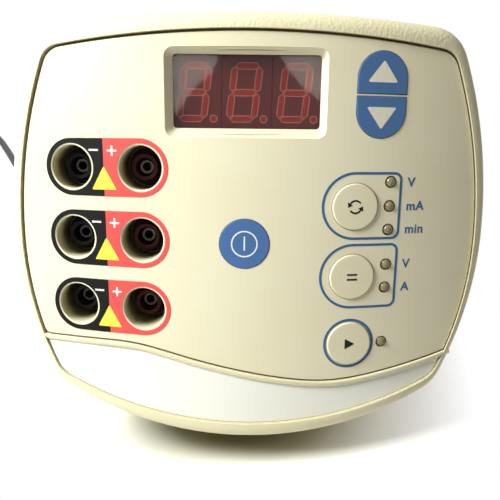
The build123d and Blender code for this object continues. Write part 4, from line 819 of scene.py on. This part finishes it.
def mains_lead():
    route = [RELIEF_END, *LEAD_START, *coil_points(), *LEAD_END, PLUG_POINT]
    curve = bpy.data.curves.new("mains_lead", "CURVE")
    curve.dimensions = "3D"
    curve.bevel_depth = LEAD / 2 * MM
    curve.bevel_resolution = 6
    curve.resolution_u = 6
    curve.use_fill_caps = True
    spline = curve.splines.new("NURBS")
    spline.points.add(len(route) - 1)
    for point, place in zip(spline.points, route):
        point.co = (*[c * MM for c in place], 1.0)
    spline.order_u = 3
    spline.use_endpoint_u = True
    lead = bpy.data.objects.new("mains_lead", curve)
    bpy.context.scene.collection.objects.link(lead)
    curve.materials.append(FINISHES["lead_sheath"])
    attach(lead, "case")
    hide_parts("mains_lead_start", "mains_lead_coil", "mains_lead_end")


# Camera, light and floor

EYE = (0.99, 40.88, 220.58)  # across, up and out of the face
LOOK_DEG, ROLL_DEG = 58.848, 0.639  # up from straight down, and about the line of sight
LENS, SENSOR = 37.39, 36.0
WHITE = (1.0, 1.0, 1.0, 1.0)
# name, place, target, side, power and colour of each lamp
LAMPS = [("window_light", (-0.64, -0.24, 0.7), (0.0, -0.05, 0.1), 0.3, 13.8, "#FAFFFA"),
         ("ceiling_light", (-0.05, 0.16, 1.1), (0.0, 0.0, 0.1), 0.6, 2.0, "#FFF6E4")]
# floor: tone for the object's own light, for the eye, and for the eye in the painted shadow under the chin
FLOOR_TONE = (0.8, 0.79, 0.76, 1.0)
SEEN_TONE = (2.2, 2.16, 2.06, 1.0)
CHIN_SHADOW_TONE = (0.2, 0.185, 0.125, 1.0)
CHIN_SHADOW_OVAL = ((-0.014, -0.095), (0.116, 0.044))  # the painted shadow's centre and radii, in metres
SHADOW_OVAL = ((0.0, 0.12), (0.14, 0.36))
FLOOR_SIZE = 6.0
# what the display window mirrors: where it lies, where the panes stand, and their shapes as seen in it
WINDOW_FRONT = -5.0
PANES_OUT = 420.0
PANES_GLOW = 6.8
PANES = [[(-36.0, 78.0), (-13.0, 78.0), (-15.5, 71.0), (-22.0, 66.5), (-29.0, 57.0), (-36.0, 51.0)],
         [(12.5, 78.0), (32.0, 78.0), (32.0, 58.5), (21.0, 67.5)]]

def camera():
    data = bpy.data.cameras.new("photo_camera")
    data.lens = LENS
    data.sensor_width = SENSOR
    data.clip_start = 0.01
    seat = bpy.data.objects.new("photo_camera", data)
    bpy.context.scene.collection.objects.link(seat)
    eye = FACE_MIDDLE + ACROSS * EYE[0] + UP_FACE * EYE[1] + OUT_OF_FACE * EYE[2]
    look = Matrix.Rotation(math.radians(LOOK_DEG), 4, "X")
    roll = Matrix.Rotation(math.radians(ROLL_DEG), 4, "Z")
    seat.matrix_world = Matrix.Translation(eye * MM) @ look @ roll
    bpy.context.scene.camera = seat


def lamp(name, place, target, side, power, colour):
    data = bpy.data.lights.new(name, "AREA")
    data.shape = "RECTANGLE"
    data.size, data.size_y = side, side
    data.energy = power
    data.color = linear(colour)[:3]
    light = bpy.data.objects.new(name, data)
    bpy.context.scene.collection.objects.link(light)
    light.location = place
    light.rotation_euler = (Vector(target) - Vector(place)).to_track_quat("-Z", "Y").to_euler()


def set_on_stage(name, bm, material):
    """A piece of the surroundings, which isn't part of the model."""
    mesh = bpy.data.meshes.new(name)
    bm.to_mesh(mesh)
    bm.free()
    piece = bpy.data.objects.new(name, mesh)
    bpy.context.scene.collection.objects.link(piece)
    finish_with(piece, material)
    return piece


def window_sheen():
    """Bright panes of the room that the display window mirrors, seen by mirrored rays alone."""
    share = (EYE[2] - WINDOW_FRONT) / (EYE[2] - 2 * WINDOW_FRONT + PANES_OUT)
    bm = bmesh.new()
    for shape in PANES:
        corners = [[EYE[i] + (p[i] - EYE[i]) / share for i in (0, 1)] for p in shape]
        bm.faces.new([bm.verts.new((FACE_MIDDLE + ACROSS * u + UP_FACE * v + OUT_OF_FACE * PANES_OUT) * MM)
                      for u, v in corners])
    made, tree = bare_material("bright_panes")
    glow = add(tree, "ShaderNodeEmission", {"Color": (1.0, 0.97, 0.88, 1.0), "Strength": PANES_GLOW})
    show(tree, glow.outputs[0])
    panes = set_on_stage("bright_panes", bm, made)
    panes.visible_camera = False
    panes.visible_diffuse = False
    panes.visible_shadow = False
    panes.visible_transmission = False


def seen_directly(tree):
    """1 for the rays that show the background: straight, mirrored or through glass."""
    path = add(tree, "ShaderNodeLightPath").outputs
    first = add(tree, "ShaderNodeMath", {"operation": "MAXIMUM"},
                {0: path["Is Camera Ray"], 1: path["Is Glossy Ray"]})
    return add(tree, "ShaderNodeMath", {"operation": "MAXIMUM"},
               {0: first.outputs[0], 1: path["Is Transmission Ray"]}).outputs[0]


def studio():
    world = bpy.data.worlds.new("studio")
    world.use_nodes = True
    tree = world.node_tree
    tree.nodes.clear()
    soft = add(tree, "ShaderNodeBackground", {"Color": linear("#FFF8EA"), "Strength": 0.05})
    white = add(tree, "ShaderNodeBackground", {"Color": WHITE, "Strength": 1.0})
    mix = add(tree, "ShaderNodeMixShader", {},
              {0: seen_directly(tree), 1: soft.outputs[0], 2: white.outputs[0]})
    output = add(tree, "ShaderNodeOutputWorld")
    tree.links.new(mix.outputs[0], output.inputs["Surface"])
    bpy.context.scene.world = world
    for settings in LAMPS:
        lamp(*settings)


def around(tree, place, centre, radii):
    """How far a point of the floor lies from a centre, as a share of an oval's radii."""
    flat = reckoned(tree, "MULTIPLY", place, (1.0, 1.0, 0.0))
    arm = reckoned(tree, "SUBTRACT", flat, (*centre, 0.0))
    share = reckoned(tree, "DIVIDE", arm, (*radii, 1.0))
    return reckoned(tree, "LENGTH", share, result="Value")


def floor():
    """A white background that keeps its shadows, with a painted shadow under the chin: whiter to the eye than
    to the object.
    """
    made, tree = bare_material("bench_top")
    seen = seen_directly(tree)
    middle = add(tree, "ShaderNodeTexCoord").outputs["Object"]
    # a painted shadow: the dim strip under the chin
    lit = spread(tree, around(tree, middle, *CHIN_SHADOW_OVAL), 0.15, 1.0, interpolation_type="SMOOTHSTEP")
    eye_tone = add(tree, "ShaderNodeMix", {"data_type": "RGBA", 6: CHIN_SHADOW_TONE, 7: SEEN_TONE}, {0: lit})
    tone = add(tree, "ShaderNodeMix", {"data_type": "RGBA", 6: FLOOR_TONE}, {0: seen, 7: eye_tone.outputs[2]})
    matt = add(tree, "ShaderNodeBsdfDiffuse", {}, {"Color": tone.outputs[2]})
    # plain white further out, where no shadow falls
    far = spread(tree, around(tree, middle, *SHADOW_OVAL), 0.65, 1.05)
    share = add(tree, "ShaderNodeMath", {"operation": "MULTIPLY"}, {0: far, 1: seen}).outputs[0]
    white = add(tree, "ShaderNodeEmission", {"Color": WHITE, "Strength": 1.0})
    mix = add(tree, "ShaderNodeMixShader", {}, {0: share, 1: matt.outputs[0], 2: white.outputs[0]})
    show(tree, mix.outputs[0])
    bm = bmesh.new()
    bmesh.ops.create_grid(bm, x_segments=1, y_segments=1, size=FLOOR_SIZE)
    set_on_stage("bench_top", bm, made)


def settle():
    scene = bpy.context.scene
    scene.view_settings.view_transform = "Standard"


camera()
mains_lead()
dress_nodes()
face_marks()
key_marks()
digit_rims()
seam_bead()
studio()
window_sheen()
floor()
settle()
